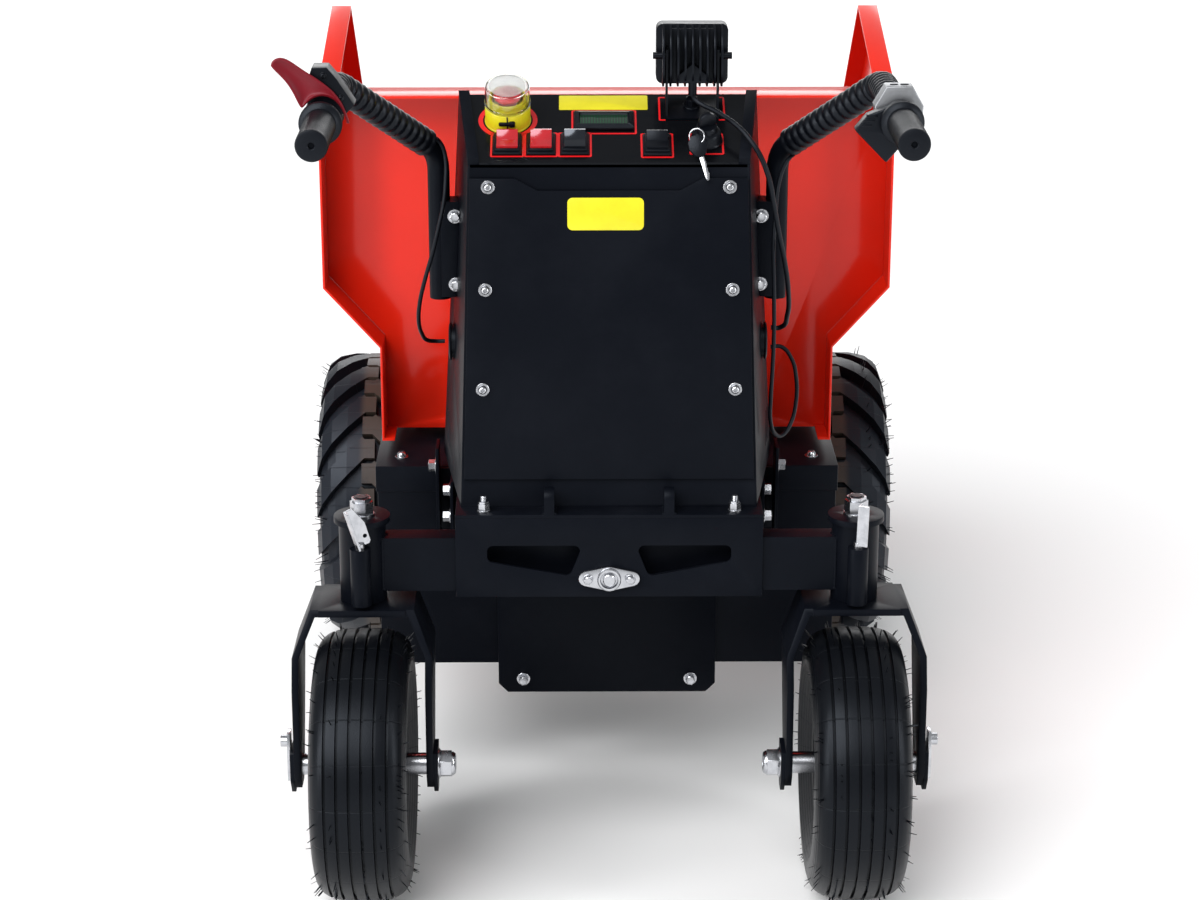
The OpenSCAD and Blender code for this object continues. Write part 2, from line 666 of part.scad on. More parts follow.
// Rear face's slope, and the outline of its cover, whose top edge dips in the middle
cover_foot = 34;
cover_t = 4;
cover_rise = [15, 29];
cover_dip = [82, 108];
rear_open = 270;
face_lean = atan2(top_dy, top_dz);
face_tall = top_dz / cos(face_lean);
module on_rear_face() { translate([0, console_low_y, deck_z]) rotate([90 - face_lean, 0, 0]) children(); }
module cover_outline() {
    half = [[console_near_low - 4, cover_foot], [console_near_top - 2, face_tall - cover_rise[0]],
        [cover_dip[1], face_tall - cover_rise[0]], [cover_dip[0], face_tall - cover_rise[1]]];
    polygon(concat(half, [for (i = [len(half) - 1 : -1 : 0]) [-half[i][0], half[i][1]]]));
}
cheek_w = 13;
cheek_h = 9;
grommet_at = [200, 625];
grommet_d = 40;
vents = 3;
module console_shell() {
    color(black_paint) place() {
        difference() {
            console_solid(0);
            difference() {
                translate([0, -1, 1.5]) console_solid(sheet);
                block([-300, 0, deck_z], [300, 400, deck_z + sheet]);
            }
            both_sides() across(grommet_at, 150, 60, grommet_d);
            // Slanting vent slots through both side walls
            for (i = [0 : vents - 1])
                translate([0, console_front_y - 52 + 15 * i, deck_z + 46]) rotate([-30, 0, 0])
                    cube([450, 6, 44], center = true);
        }
        // Rear face, open behind the cover
        on_rear_face() translate([0, 0, -sheet]) linear_extrude(sheet - 0.3) difference() {
            polygon([[-console_near_low + 1, 1.5], [console_near_low - 1, 1.5],
                [console_near_top - 1, face_tall - 3], [-console_near_top + 1, face_tall - 3]]);
            translate([-rear_open / 2, cover_foot + 16]) square([rear_open, face_tall - cover_foot - 68]);
        }
        // Cheeks that frame the panel
        both_sides() on_panel() linear_extrude(cheek_h)
            polygon([[console_near_top - cheek_w, 0.5], [console_near_top, 0.5], [console_far_top, panel_l],
                [console_far_top - cheek_w, panel_l]]);
    }
}
module console_cover() {
    color(black_paint) place() on_rear_face() translate([0, 0, 0.2]) linear_extrude(cover_t) cover_outline();
}
module control_panel() {
    near = console_near_top - cheek_w - 0.2;
    far = console_far_top - cheek_w - 0.2;
    color(plastic_black) place() on_panel() translate([0, 0, 0.1]) linear_extrude(panel_top - 0.1)
        polygon([[-near, 0.5], [near, 0.5], [far, panel_l], [-far, panel_l]]);
}

// Panel fittings, at [sideways, up the slope]
panel_top = 3;
stop_at = [-117, 78];
stop_d = 54;
stop_base_h = 25;
stop_top = panel_top + stop_base_h;
module stop_base() {
    color(yellow) place() on_panel() translate([stop_at[0], stop_at[1], panel_top])
        cylinder(h = stop_base_h, d = stop_d);
}
module stop_button() {
    color(red_paint) place() on_panel() translate([stop_at[0], stop_at[1], stop_top]) {
        cylinder(h = 8, d = 24);
        translate([0, 0, 8]) cylinder(h = 12, d = 40);
    }
}
module stop_cover() {
    color("#e8ecf0", 0.4) place() on_panel() translate([stop_at[0], stop_at[1], stop_top]) difference() {
        cylinder(h = 32, d = stop_d - 2);
        translate([0, 0, -1]) cylinder(h = 30, d = stop_d - 7);
    }
}
rocker_at = [[-117, 34], [-78, 34], [-39, 34], [56, 31]];
module rocker_switches() {
    color(plastic_black) place() on_panel() for (p = rocker_at) translate([p[0] - 13, p[1] - 13, panel_top]) {
        cube([26, 26, 3]);
        if (p[0] > -50) translate([3, 3, 3]) cube([20, 20, 10]);
    }
}
module rocker_lenses() {
    color(red_paint) place() on_panel() for (i = [0, 1])
        translate([rocker_at[i][0] - 10, rocker_at[i][1] - 10, panel_top + 3]) cube([20, 20, 11]);
}
module battery_gauge() {
    color(plastic_black) place() on_panel() translate([-40, 60, panel_top]) cube([70, 34, 5]);
}
module key_switch() {
    color(plastic_black) place() on_panel() translate([113, 49, panel_top]) {
        cylinder(h = 14, d = 36);
        cylinder(h = 24, d = 24);
        translate([-3, -14, 20]) cube([6, 28, 26]);
    }
}

// Work lamp: a bracket that rises from the panel between the housing's fins
lamp_mid = [98, 200, 972];
lamp_w = 84;
lamp_h = 70;
lamp_corner = 8;
lamp_front = 28;
lamp_back = -28;
lamp_seat = 4;
lens_rim = 4;
lens_deep = 8;
fin_t = 2.4;
fin_pitch = 8.5;
arm_gap = 1.8;
arm_x = 3 * fin_pitch + fin_t / 2 + arm_gap;
arm_t = 2.6;
arm_screw_d = 8;
gland_low = -44;
module arm_screws() {
    both_sides() translate([arm_x, -7, 0]) rotate([0, 90, 0])
        cylinder(h = lamp_w / 2 + 4 - arm_x, d = arm_screw_d);
}
module lamp_bracket() {
    half = arm_x + arm_t;
    color(plastic_black) place() {
        on_panel() block([lamp_mid[0] - half, 80, panel_top], [lamp_mid[0] + half, 123, panel_top + 3]);
        difference() {
            translate(lamp_mid) both_sides() block([arm_x, -16, -80], [half, 2, 8]);
            on_panel() block([-300, -50, -100], [300, 300, panel_top + 1]);
        }
        translate(lamp_mid) arm_screws();
    }
}
// Face of the lamp, inset by a rim
module lamp_face(rim) {
    offset(r = lamp_corner - rim, $fn = 32)
        square([lamp_w - 2 * lamp_corner, lamp_h - 2 * lamp_corner], center = true);
}
// One fin seen from the side, round-backed at its top and foot
module fin_side() {
    half = lamp_h / 2;
    polygon([[lamp_seat + 1, -half], [lamp_back + 14, -half], [lamp_back + 3, -half + 9],
        [lamp_back, -half + 20], [lamp_back, half - 28], [lamp_back + 4, half - 15],
        [lamp_back + 13, half - 5], [lamp_seat + 1, half]]);
}
module lamp_housing() {
    foot = -lamp_h / 2;
    core = [2 * arm_x - 3, lamp_h - 8];
    color(plastic_black) place() translate(lamp_mid) difference() {
        union() {
            cross_plate(lamp_seat, lamp_front - lamp_seat) lamp_face(0);
            cross_plate(-6, lamp_seat + 7) square(core, center = true);
            for (i = [-4 : 4]) side_plate(i * fin_pitch - fin_t / 2, fin_t) fin_side();
            // Peaked boss over the cable's gland
            cross_plate(lamp_back + 4, 24)
                polygon([[-17, foot + 6], [17, foot + 6], [17, foot + 14], [0, foot + 28], [-17, foot + 14]]);
            translate([0, -19, gland_low]) cylinder(h = 20, d = 10);
        }
        cross_plate(lamp_front - lens_deep, lens_deep + 1) lamp_face(lens_rim);
        arm_screws();
    }
}
module lamp_lens() {
    color("#dfe6ea", 0.6) place() translate(lamp_mid)
        cross_plate(lamp_front - lens_deep, lens_deep - 2) lamp_face(lens_rim);
}

// Handlebars: upright tube, outward run and rearward grip
bar_y = 200;
bar_low = 680;
bar_knee = [bar_x, bar_y, 858];
bar_elbow = [grip_x, 62, grip_z];
bar_tip = [grip_x, grip_end_y + 4, grip_z];
bar_path = [[bar_x, bar_y, bar_low], bar_knee, bar_elbow, bar_tip];
bar_bend = 42;
bend_steps = 6;
bar_sides = 20;
module handlebars() {
    color(black_paint) place() both_sides()
        swept(rounded_line(bar_path, bar_bend, bend_steps), bar_d, bar_sides);
}
module bar_brackets() {
    color(black_paint) place() both_sides() difference() {
        block([150, bar_y - 16, bar_low + 4], [bar_x - 2, bar_y + 16, bar_low + 120]);
        console_solid(0);
        translate([bar_x, bar_y, bar_low]) cylinder(h = 300, d = bar_d);
    }
}
sleeve_d = 34;
module bar_sleeves() {
    path = [bar_knee + 28 * unit(bar_elbow - bar_knee), bar_elbow, [grip_x, clamp_y + clamp_l + 10, grip_z]];
    color(plastic_black) place() both_sides()
        swept(rounded_line(path, bar_bend, bend_steps), sleeve_d, bar_sides, bar_d + seat);
}
module grips() {
    flange_d = 46;
    color(plastic_black) place() both_sides() difference() {
        union() {
            along_y([grip_x, grip_z], grip_end_y, grip_l, grip_d);
            along_y([grip_x, grip_z], grip_end_y + grip_l - 8, 8, flange_d);
        }
        along_y([grip_x, grip_z], grip_end_y + 4, grip_l + 10, bar_d);
    }
}
clamp_y = grip_end_y + grip_l + 22;
clamp_l = 30;
lever_t = 8;
// Clamp with the lever's pivot block on its upper inner side
module lever_clamp() {
    color(plastic_black) place() difference() {
        union() {
            along_y([-grip_x, grip_z], clamp_y, clamp_l, 42);
            cross_plate(clamp_y, clamp_l) translate([-grip_x, grip_z])
                polygon([[-16, 12], [-14, 42], [-10, 54], [6, 54], [16, 42], [34, 14], [24, 4]]);
        }
        along_y([-grip_x, grip_z], clamp_y - 1, clamp_l + 2, bar_d);
    }
}
// Broad thumb lever that arches over the grip's flange
module brake_lever() {
    color(red_paint) place() cross_plate(clamp_y - lever_t, lever_t) translate([-grip_x, grip_z])
        difference() {
            polygon([[-52, 57], [-47, 65], [-38, 66], [-21, 53], [1, 40], [14, 28], [21, 15], [27, 1],
                [24, 1], [-21, 10], [-25, 22], [-34, 38], [-43, 48]]);
            circle(r = 25);
        }
}
// Split ring with a flat top
module throttle_clamp() {
    color(zinc) place() difference() {
        cross_plate(clamp_y, 24) translate([grip_x, grip_z])
            polygon([[-15, 33], [13, 33], [25, 12], [23, -14], [10, -24], [-10, -24], [-24, -10],
                [-27, 12]]);
        along_y([grip_x, grip_z], clamp_y - 1, 26, bar_d);
    }
}
module throttle_housing() {
    color(plastic_black) place() difference() {
        union() {
            cross_plate(clamp_y - 18, 18) translate([grip_x, grip_z])
                polygon([[-49, -10], [-36, 6], [-10, 16], [16, -10], [-2, -30], [-15, -45]]);
            along_y([grip_x, grip_z], clamp_y - 18, 18, 40);
        }
        along_y([grip_x, grip_z], clamp_y - 30, 60, bar_d);
    }
}
module grommets() {
    color(plastic_black) place() both_sides() across(grommet_at, 180, 16, grommet_d - 0.2);
}

module cable_left() { color(plastic_black) place() swept(cable_left_path, 5, 8); }
module cable_right() { color(plastic_black) place() swept(cable_right_path, 5, 8); }
module lamp_cable() { color(plastic_black) place() swept(lamp_cable_path, 7, 10); }

// Skip: floor with its rising front, folded sides, rear wall and frame
ramp = atan2(skip_lip_z - skip_z, skip_lip_y - skip_ramp_y);
module skip_floor() {
    half = skip_floor_half - sheet;
    color(red_paint) place() side_plate(-half, 2 * half)
        polygon([[skip_wall_y + sheet, skip_z], [skip_ramp_y, skip_z], [skip_lip_y, skip_lip_z],
            [skip_lip_y - sheet * sin(ramp), skip_lip_z + sheet * cos(ramp)],
            [skip_ramp_y - sheet * tan(ramp / 2), skip_z + sheet], [skip_wall_y + sheet, skip_z + sheet]]);
}
module side_outline() {
    polygon([[skip_rear_y, skip_z], [skip_ramp_y, skip_z], [skip_lip_y, skip_lip_z],
        [skip_apex_y, skip_apex_z], [skip_rear_y, skip_rear_z]]);
}
module side_section() {
    polygon([[skip_floor_half - sheet, skip_z], [skip_floor_half, skip_z], [skip_floor_half, skip_knee_z],
        [skip_half, skip_shoulder_z], [skip_half, 1200], [skip_half - sheet, 1200],
        [skip_half - sheet, skip_shoulder_z + 1], [skip_floor_half - sheet, skip_knee_z + 1]]);
}
module skip_sides() {
    color(red_paint) place() both_sides() {
        intersection() {
            cross_plate(skip_rear_y, skip_lip_y - skip_rear_y) side_section();
            side_plate(0, skip_half) side_outline();
        }
        // Folded rim along the top and front edges
        intersection() {
            block([skip_half - skip_rim, skip_rear_y, skip_shoulder_z], [skip_half, skip_lip_y, 1200]);
            side_plate(0, skip_half) difference() {
                side_outline();
                offset(delta = -sheet) union() {
                    side_outline();
                    translate([skip_rear_y - 50, skip_z - 50]) square([50.01, 900]);
                }
            }
        }
        // Return lip at the rear bottom corner
        block([skip_floor_half - 16, skip_rear_y, skip_z],
            [skip_floor_half - sheet, skip_wall_y - 1, skip_z + sheet]);
    }
}
skip_hole_x = 200;
skip_hole_z = 18;
skip_hole_d = 9;
module skip_rear_wall() {
    in = sheet + 0.2;
    top = skip_rear_z - 4;
    color(red_paint) place() difference() {
        union() {
            cross_plate(skip_wall_y, sheet)
                polygon([[-skip_floor_half + in, skip_z], [skip_floor_half - in, skip_z],
                    [skip_floor_half - in, skip_knee_z + 2], [skip_half - in, skip_shoulder_z + 2],
                    [skip_half - in, top], [-skip_half + in, top],
                    [-skip_half + in, skip_shoulder_z + 2], [-skip_floor_half + in, skip_knee_z + 2]]);
            block([-skip_half + in, skip_rear_y, top - sheet], [skip_half - in, skip_wall_y + 1, top]);
        }
        both_sides() along_y([skip_hole_x, skip_z + skip_hole_z], skip_wall_y - 1, sheet + 2, skip_hole_d);
    }
}
module skip_frame() {
    rail_half = 140;
    wide = 40;
    deep = 30;
    color(red_paint) place() difference() {
        union() {
            both_sides() {
                block([rail_half - wide, box_front_y + 20, skip_z - deep], [rail_half, skip_ramp_y, skip_z]);
                side_plate(rail_half - 12, 12) {
                    polygon([[skip_ramp_y - 60, skip_z], [skip_ramp_y, skip_z], [tip_y + 20, skip_z + 24],
                        [tip_y + ear_r, tip_z], [tip_y - ear_r, tip_z], [skip_ramp_y - 40, skip_z - deep]]);
                    translate([tip_y, tip_z]) circle(r = ear_r);
                }
            }
            for (x = [act_x - 22, act_x + 14]) side_plate(x, 8)
                polygon([[act_eye[0] - 40, skip_z], [act_eye[0] + 36, skip_z],
                    [act_eye[0] + 24, act_eye[1] - 22], [act_eye[0] - 24, act_eye[1] - 22]]);
        }
        across([tip_y, tip_z], -200, 400, tip_pin_d + 2 * run);
        // Slotted eyes that take up the rod pin's play
        for (y = [-11, 9]) across(act_eye + [y, -2], act_x - 40, 80, 22);
        block([act_x - 40, act_eye[0] - 11, act_eye[1] - 13], [act_x + 40, act_eye[0] + 9, act_eye[1] + 9]);
    }
}

// Tipping actuator, drawn along its own axis from the base pin
module along_actuator() {
    translate([act_x, act_base[0], act_base[1]]) rotate([act_angle - 90, 0, 0]) children();
}
barrel_l = 190;
rod_d = 22;
module actuator_barrel() {
    color("#50545a") place() difference() {
        union() {
            along_actuator() {
                translate([0, 0, 18]) cylinder(h = barrel_l, d = 46);
                translate([-12, 0, 0]) rotate([0, 90, 0]) cylinder(h = 24, d = 28);
                translate([-12, -12, 0]) cube([24, 24, 24]);
                translate([0, -44, 26]) cylinder(h = 110, d = 44);
                translate([-16, -46, 20]) cube([32, 46, 30]);
            }
            across(act_base, act_x - 24, 48, 11.9);
        }
        along_actuator() translate([0, 0, 40]) cylinder(h = barrel_l, d = rod_d + 2 * run);
    }
}
module actuator_rod() {
    color(zinc) place() {
        along_actuator() {
            translate([0, 0, 46]) cylinder(h = act_l - 46, d = rod_d);
            translate([-11, 0, act_l]) rotate([0, 90, 0]) cylinder(h = 22, d = 32);
        }
        across(act_eye, act_x - 26, 52, 12);
    }
}

chassis_box();
battery_pack();
belly_tray();
front_subframe();
tip_pin();
transaxle();
drive_motor();
rear_spine();
rear_apron();
spine_brackets();
rear_beam();
beam_pivot();
lock_pins();
console_shell();
console_cover();
control_panel();
stop_base();
stop_button();
stop_cover();
rocker_switches();
rocker_lenses();
battery_gauge();
key_switch();
lamp_bracket();
lamp_housing();
lamp_lens();
bar_brackets();
handlebars();
bar_sleeves();
grips();
brake_lever();
lever_clamp();
throttle_clamp();
throttle_housing();
grommets();
cable_left();
cable_right();
lamp_cable();
skip_floor();
skip_sides();
skip_rear_wall();
skip_frame();
actuator_barrel();
actuator_rod();
drive_tyre_left();
drive_rim_left();
drive_tyre_right();
drive_rim_right();
fork_left();
swivel_bolt_left();
caster_axle_left();
caster_tyre_left();
caster_rim_left();
fork_right();
swivel_bolt_right();
caster_axle_right();
caster_tyre_right();
caster_rim_right();
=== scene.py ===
"""Looks for a walk-behind electric mini dumper: finishes, fasteners, panel fittings, cables and a studio.

Places are written as on the machine's drawing, in millimetres: x to the operator's right, stations along
the machine from the rear axle, heights from the ground. spot() turns them into the part's frame.
"""

import json
import math
import random

import bpy
from bpy.props import FloatProperty, FloatVectorProperty, IntProperty, PointerProperty
from mathutils import Matrix, Vector


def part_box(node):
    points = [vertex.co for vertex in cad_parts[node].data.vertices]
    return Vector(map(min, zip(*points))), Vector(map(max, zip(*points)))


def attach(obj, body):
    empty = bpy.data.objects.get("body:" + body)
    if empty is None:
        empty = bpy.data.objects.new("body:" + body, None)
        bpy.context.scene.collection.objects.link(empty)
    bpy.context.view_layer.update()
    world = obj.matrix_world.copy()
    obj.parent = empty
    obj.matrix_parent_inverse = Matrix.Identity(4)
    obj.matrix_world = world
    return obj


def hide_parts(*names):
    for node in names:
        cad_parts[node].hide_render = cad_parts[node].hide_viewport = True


bl_info = {
    "name": "Mini dumper looks",
    "version": (1, 0, 0),
    "blender": (4, 5, 0),
    "location": "View3D > Sidebar > Dumper",
    "description": "Finishes, fasteners, panel fittings, cables and a studio for a walk-behind mini dumper",
    "category": "Object",
}

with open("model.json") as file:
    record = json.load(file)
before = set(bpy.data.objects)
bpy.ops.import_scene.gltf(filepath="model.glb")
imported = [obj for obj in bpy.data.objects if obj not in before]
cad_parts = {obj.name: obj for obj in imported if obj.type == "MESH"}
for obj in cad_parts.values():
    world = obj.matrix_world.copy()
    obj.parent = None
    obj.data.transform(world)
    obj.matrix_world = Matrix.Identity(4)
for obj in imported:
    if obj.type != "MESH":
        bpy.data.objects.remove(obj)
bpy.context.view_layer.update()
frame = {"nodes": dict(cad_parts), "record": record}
SLOTS = {part["node"]: part["material_slot"] for part in frame["record"]["subparts"]}

MM = 0.001
REAR_AXLE = 415.0
SIDES = (-1, 1)
SIDE_NAMES = {-1: "left", 1: "right"}


# Sizes and colours that a user would change


def tint(name, description, default):
    return FloatVectorProperty(
        name=name, description=description, subtype="COLOR", size=3, min=0, max=1, default=default
    )


def length(name, description, default):
    return FloatProperty(
        name=name, description=description, subtype="DISTANCE", unit="LENGTH", min=0, default=default
    )


class DumperColours(bpy.types.PropertyGroup):
    black: tint("Black", "Powder coat on the chassis and console", (0.0026, 0.0033, 0.0056))
    black_film: tint("Black, filmed", "Powder coat under a faint film of dust", (0.0062, 0.0072, 0.0105))
    red: tint("Red", "Gloss paint on the skip", (0.74, 0.018, 0.005))
    red_deep: tint("Deep red", "Thicker runs of the skip's paint", (0.67, 0.015, 0.004))
    zinc: tint("Zinc", "Bright plate on bolts, nuts and pins", (0.56, 0.57, 0.60))
    zinc_grey: tint("Grey zinc", "Handled plate on bolts, nuts and pins", (0.46, 0.47, 0.50))
    rubber: tint("Rubber", "Tyre rubber", (0.0026, 0.0031, 0.0044))
    # The drive tyres' rubber is lighter and bluer than the casters': a painted sheen on their shoulders.
    drive_rubber_painted_sheen: tint("Drive rubber", "Rubber of the drive tyres' shoulders", (0.0080, 0.0098, 0.0140))
    rubber_bloom: tint("Rubber bloom", "Brownish film on the drive tyres' lugs", (0.046, 0.0340, 0.0262))
    plastic: tint("Black plastic", "Moulded switches, sleeves and housings", (0.0021, 0.0026, 0.0042))
    panel: tint("Panel", "Gloss black control panel", (0.0035, 0.0038, 0.005))
    yellow: tint("Yellow", "Label plates and stop switch", (0.60, 0.53, 0.010))
    signal_red: tint("Signal red", "Stop button, lever and printed borders", (0.60, 0.008, 0.010))
    lens_red: tint("Lens red", "Lit rocker switches", (0.36, 0.006, 0.009))
    lever_red: tint("Lever red", "Moulded thumb lever", (0.135, 0.0030, 0.0075))
    display: tint("Display", "Glass of the battery gauge", (0.016, 0.028, 0.022))
    floor: tint("Floor", "Studio floor", (0.93, 0.93, 0.93))


class DumperSizes(bpy.types.PropertyGroup):
    fold: length("Fold radius", "Rounding on folded sheet and thick plate", 0.0014)
    cut: length("Cut edge", "Rounding on cut edges and small parts", 0.0006)
    print_t: length("Print", "Thickness of labels and printed borders", 0.0004)
    ridge: length("Ridge pitch", "Pitch of the handlebar sleeves' ridges", 0.0125)
    hair: length("Hair", "Longest moulding hair on the tyres", 0.014)
    hairs: IntProperty(name="Hairs", description="Moulding hairs on each tyre", min=0, default=240)
    bead: length("Weld bead", "Width of a weld bead", 0.006)


class DumperStudio(bpy.types.PropertyGroup):
    lens: FloatProperty(name="Lens", description="Focal length", subtype="DISTANCE_CAMERA", default=84.0)
    eye: FloatVectorProperty(
        name="Eye", description="Place of the camera", subtype="TRANSLATION", default=(-0.036, -3.454, 1.570)
    )
    pitch: FloatProperty(
        name="Pitch", description="Tilt of the camera from straight down", subtype="ANGLE",
        default=math.radians(71.5),
    )
    yaw: FloatProperty(
        name="Yaw", description="Turn of the camera to the left", subtype="ANGLE", default=math.radians(-0.47)
    )
    sky: FloatProperty(name="Sky", description="Strength of the even light", min=0, default=0.40)
    sun: FloatProperty(name="Sun", description="Strength of the broad soft light", min=0, default=2.7)
    panel: FloatProperty(
        name="Soft boxes", description="Power of each soft box", subtype="POWER", default=36.0
    )


# Places


def spot(x, station, z):
    """A point of the drawing in the part's frame, in metres."""
    return Vector((x, station - REAR_AXLE, z)) * MM


def facing(at, axis, turn=0.0):
    """The placing of something modelled along +Z so that it stands at a point and looks along an axis."""
    tilt = Vector(axis).to_track_quat("Z", "Y").to_matrix().to_4x4()
    return Matrix.Translation(at) @ tilt @ Matrix.Rotation(turn, 4, "Z")


def rotation(degrees, axis):
    return Matrix.Rotation(math.radians(degrees), 4, axis)


PANEL = Matrix.Translation(spot(0, 110, 861)) @ rotation(25, "X")
PANEL_TOP = 3 * MM
COVER_LEAN = math.atan2(48, 399)
COVER = Matrix.Translation(spot(0, 62, 462)) @ Matrix.Rotation(math.radians(90) - COVER_LEAN, 4, "X")
COVER_TOP = 4.2 * MM
STOP_AT = (-117, 81)
KEY_AT = (113, 40)
LAMP_MID = (98, 200, 972)
GRIP_X, GRIP_Z, GRIP_END = 305, 964, -260
KNEE, ELBOW = Vector((200, 200, 858)), Vector((305, 62, 964))
DRIVE_X, DRIVE_Y, DRIVE_Z = 330, 845, 205
CASTER_X, CASTER_Y, CASTER_Z = 290, 0, 161
SWIVEL_Y, LOCK_Y = 53, 15.5
REARWARDS, UPWARDS = (0, -1, 0), (0, 0, 1)


def on_panel(u, v, lift=0.0):
    """A place on the control panel, u across and v up its slope, in millimetres."""
    return PANEL @ Matrix.Translation((u * MM, v * MM, PANEL_TOP + lift * MM))


def on_cover(u, s):
    """A place on the console's rear cover, u across and s up its slope, in millimetres."""
    return COVER @ Matrix.Translation((u * MM, s * MM, COVER_TOP))


# Modelling


def clear_selection():
    if bpy.context.mode != "OBJECT":
        bpy.ops.object.mode_set(mode="OBJECT")
    bpy.ops.object.select_all(action="DESELECT")


def focus(*objects):
    clear_selection()
    for obj in objects:
        obj.select_set(True)
    bpy.context.view_layer.objects.active = objects[0]
    return objects[0]


def open_edit(obj, test=None):
    """Opens edit mode with every face picked, or those whose normal passes a test."""
    focus(obj)
    bpy.ops.object.mode_set(mode="EDIT")
    bpy.ops.mesh.select_mode(type="FACE")
    bpy.ops.mesh.select_all(action="SELECT" if test is None else "DESELECT")
    if test is not None:
        bpy.ops.object.mode_set(mode="OBJECT")
        for face in obj.data.polygons:
            face.select = test(face.normal)
        bpy.ops.object.mode_set(mode="EDIT")


def looks_up(normal):
    return normal.z > 0.9


def close_edit():
    bpy.ops.object.mode_set(mode="OBJECT")


def close_solid():
    """Turns every face outwards and leaves edit mode."""
    bpy.ops.mesh.select_all(action="SELECT")
    bpy.ops.mesh.normals_make_consistent(inside=False)
    close_edit()


def pull_up(height):
    """Extrudes the picked faces upwards, in millimetres."""
    bpy.ops.mesh.extrude_region_move(TRANSFORM_OT_translate={"value": (0, 0, height * MM)})


def step_in(inset, lift):
    """Insets the picked faces and moves them along Z, in millimetres."""
    bpy.ops.mesh.inset(thickness=inset * MM)
    bpy.ops.transform.translate(value=(0, 0, lift * MM))


def apply_place():
    bpy.ops.object.transform_apply(location=True, rotation=True, scale=True)


def set_place(obj, placing):
    """Turns a modelled piece into its place and keeps the place in its mesh."""
    focus(obj)
    obj.matrix_world = placing @ obj.matrix_world
    apply_place()
    return obj


def joined(*objects):
    focus(*objects)
    if len(objects) > 1:
        bpy.ops.object.join()
    return bpy.context.view_layer.objects.active


def linked(name, data):
    """A new object of a mesh or curve, in the scene."""
    obj = bpy.data.objects.new(name, data)
    bpy.context.scene.collection.objects.link(obj)
    return obj


def from_mesh(name, points, edges, faces):
    mesh = bpy.data.meshes.new(name)
    mesh.from_pydata(points, edges, faces)
    return linked(name, mesh)


def flat_face(outline, height=0.0):
    """One face of any outline at a height, in millimetres."""
    points = [(x * MM, y * MM, height * MM) for x, y in outline]
    return from_mesh("face", points, [], [tuple(range(len(points)))])


def block(low, high, edge):
    """A box between two corners, in millimetres, with its edges rounded."""
    low, high = Vector(low) * MM, Vector(high) * MM
    clear_selection()
    bpy.ops.mesh.primitive_cube_add(size=1, location=(low + high) / 2)
    obj = bpy.context.object
    obj.scale = high - low
    apply_place()
    open_edit(obj)
    bpy.ops.mesh.bevel(offset=edge * MM, segments=2, affect="EDGES")
    close_edit()
    return obj


def plate(outline, low, high, edge):
    """A flat plate of any outline between two heights, in millimetres, with its rims rounded."""
    obj = flat_face(outline, low)
    open_edit(obj)
    pull_up(high - low)
    close_solid()
    open_edit(obj, lambda normal: abs(normal.z) > 0.9)
    bpy.ops.mesh.bevel(offset=edge * MM, segments=2, affect="EDGES")
    close_edit()
    return obj


def rounded_outline(width, height, radius, steps=6):
    """The corners of a rounded rectangle about the origin."""
    points = []
    for i, (sx, sy) in enumerate(((1, 1), (-1, 1), (-1, -1), (1, -1))):
        middle = Vector((sx * (width / 2 - radius), sy * (height / 2 - radius)))
        for k in range(steps + 1):
            angle = math.radians(90) * (i + k / steps)
            points.append((middle.x + radius * math.cos(angle), middle.y + radius * math.sin(angle)))
    return points


def turned(profile, segments=40):
    """A piece turned about Z from a profile of radius and height, in millimetres."""
    points = [(radius * MM, 0, height * MM) for radius, height in profile]
    obj = from_mesh("turned", points, [(i, i + 1) for i in range(len(points) - 1)], [])
    focus(obj)
    bpy.ops.object.mode_set(mode="EDIT")
    bpy.ops.mesh.select_all(action="SELECT")
    bpy.ops.mesh.spin(steps=segments, angle=math.tau, center=(0, 0, 0), axis=(0, 0, 1))
    bpy.ops.mesh.select_all(action="SELECT")
    bpy.ops.mesh.remove_doubles(threshold=1e-6)
    close_solid()
    return obj


def repeated(pattern, placings):
    """Copies a modelled pattern to each place, each copy with its own mesh, and joins them."""
    copies = []
    for placing in placings:
        mesh = pattern.data.copy()
        mesh.transform(placing)
        if placing.determinant() < 0:
            mesh.flip_normals()
        copies.append(linked(pattern.name, mesh))
    bpy.data.objects.remove(pattern)
    return joined(*copies)


def round_curve(name, kind, count, radius, resolution):
    """A round curve of one spline, in the scene, and its knots, which still need their places."""
    curve = bpy.data.curves.new(name, "CURVE")
    curve.dimensions = "3D"
    curve.bevel_depth = radius
    curve.bevel_resolution = resolution
    curve.resolution_u = 8
    curve.use_fill_caps = True
    line = curve.splines.new(kind)
    knots = line.bezier_points if kind == "BEZIER" else line.points
    knots.add(count - 1)
    return linked(name, curve), knots


def rope(points, radii, resolution):
    """A mesh tube along points in metres, with a radius at each."""
    obj, knots = round_curve("rope", "POLY", len(points), 1.0, resolution)
    for knot, point, radius in zip(knots, points, radii):
        knot.co = (*point, 1)
        knot.radius = radius
    focus(obj)
    bpy.ops.object.convert(target="MESH")
    return bpy.context.object


def rounded_path(points, radius, step):
    """Points at even steps along a line whose corners are rounded, in millimetres."""
    knots = [points[0]]
    for before, corner, after in zip(points, points[1:], points[2:]):
        one, two = (before - corner).normalized(), (after - corner).normalized()
        half = one.angle(two) / 2
        reach = radius / math.tan(half)
        middle = corner + (one + two).normalized() * radius / math.sin(half)
        start, end = corner + one * reach, corner + two * reach
        for k in range(13):
            knots.append(middle + (start - middle).slerp(end - middle, k / 12).normalized() * radius)
    knots.append(points[-1])
    evenly, carry = [knots[0]], 0.0
    for a, b in zip(knots, knots[1:]):
        run = (b - a).length
        while carry + step <= run:
            carry += step
            evenly.append(a.lerp(b, carry / run))
        carry -= run
    return evenly


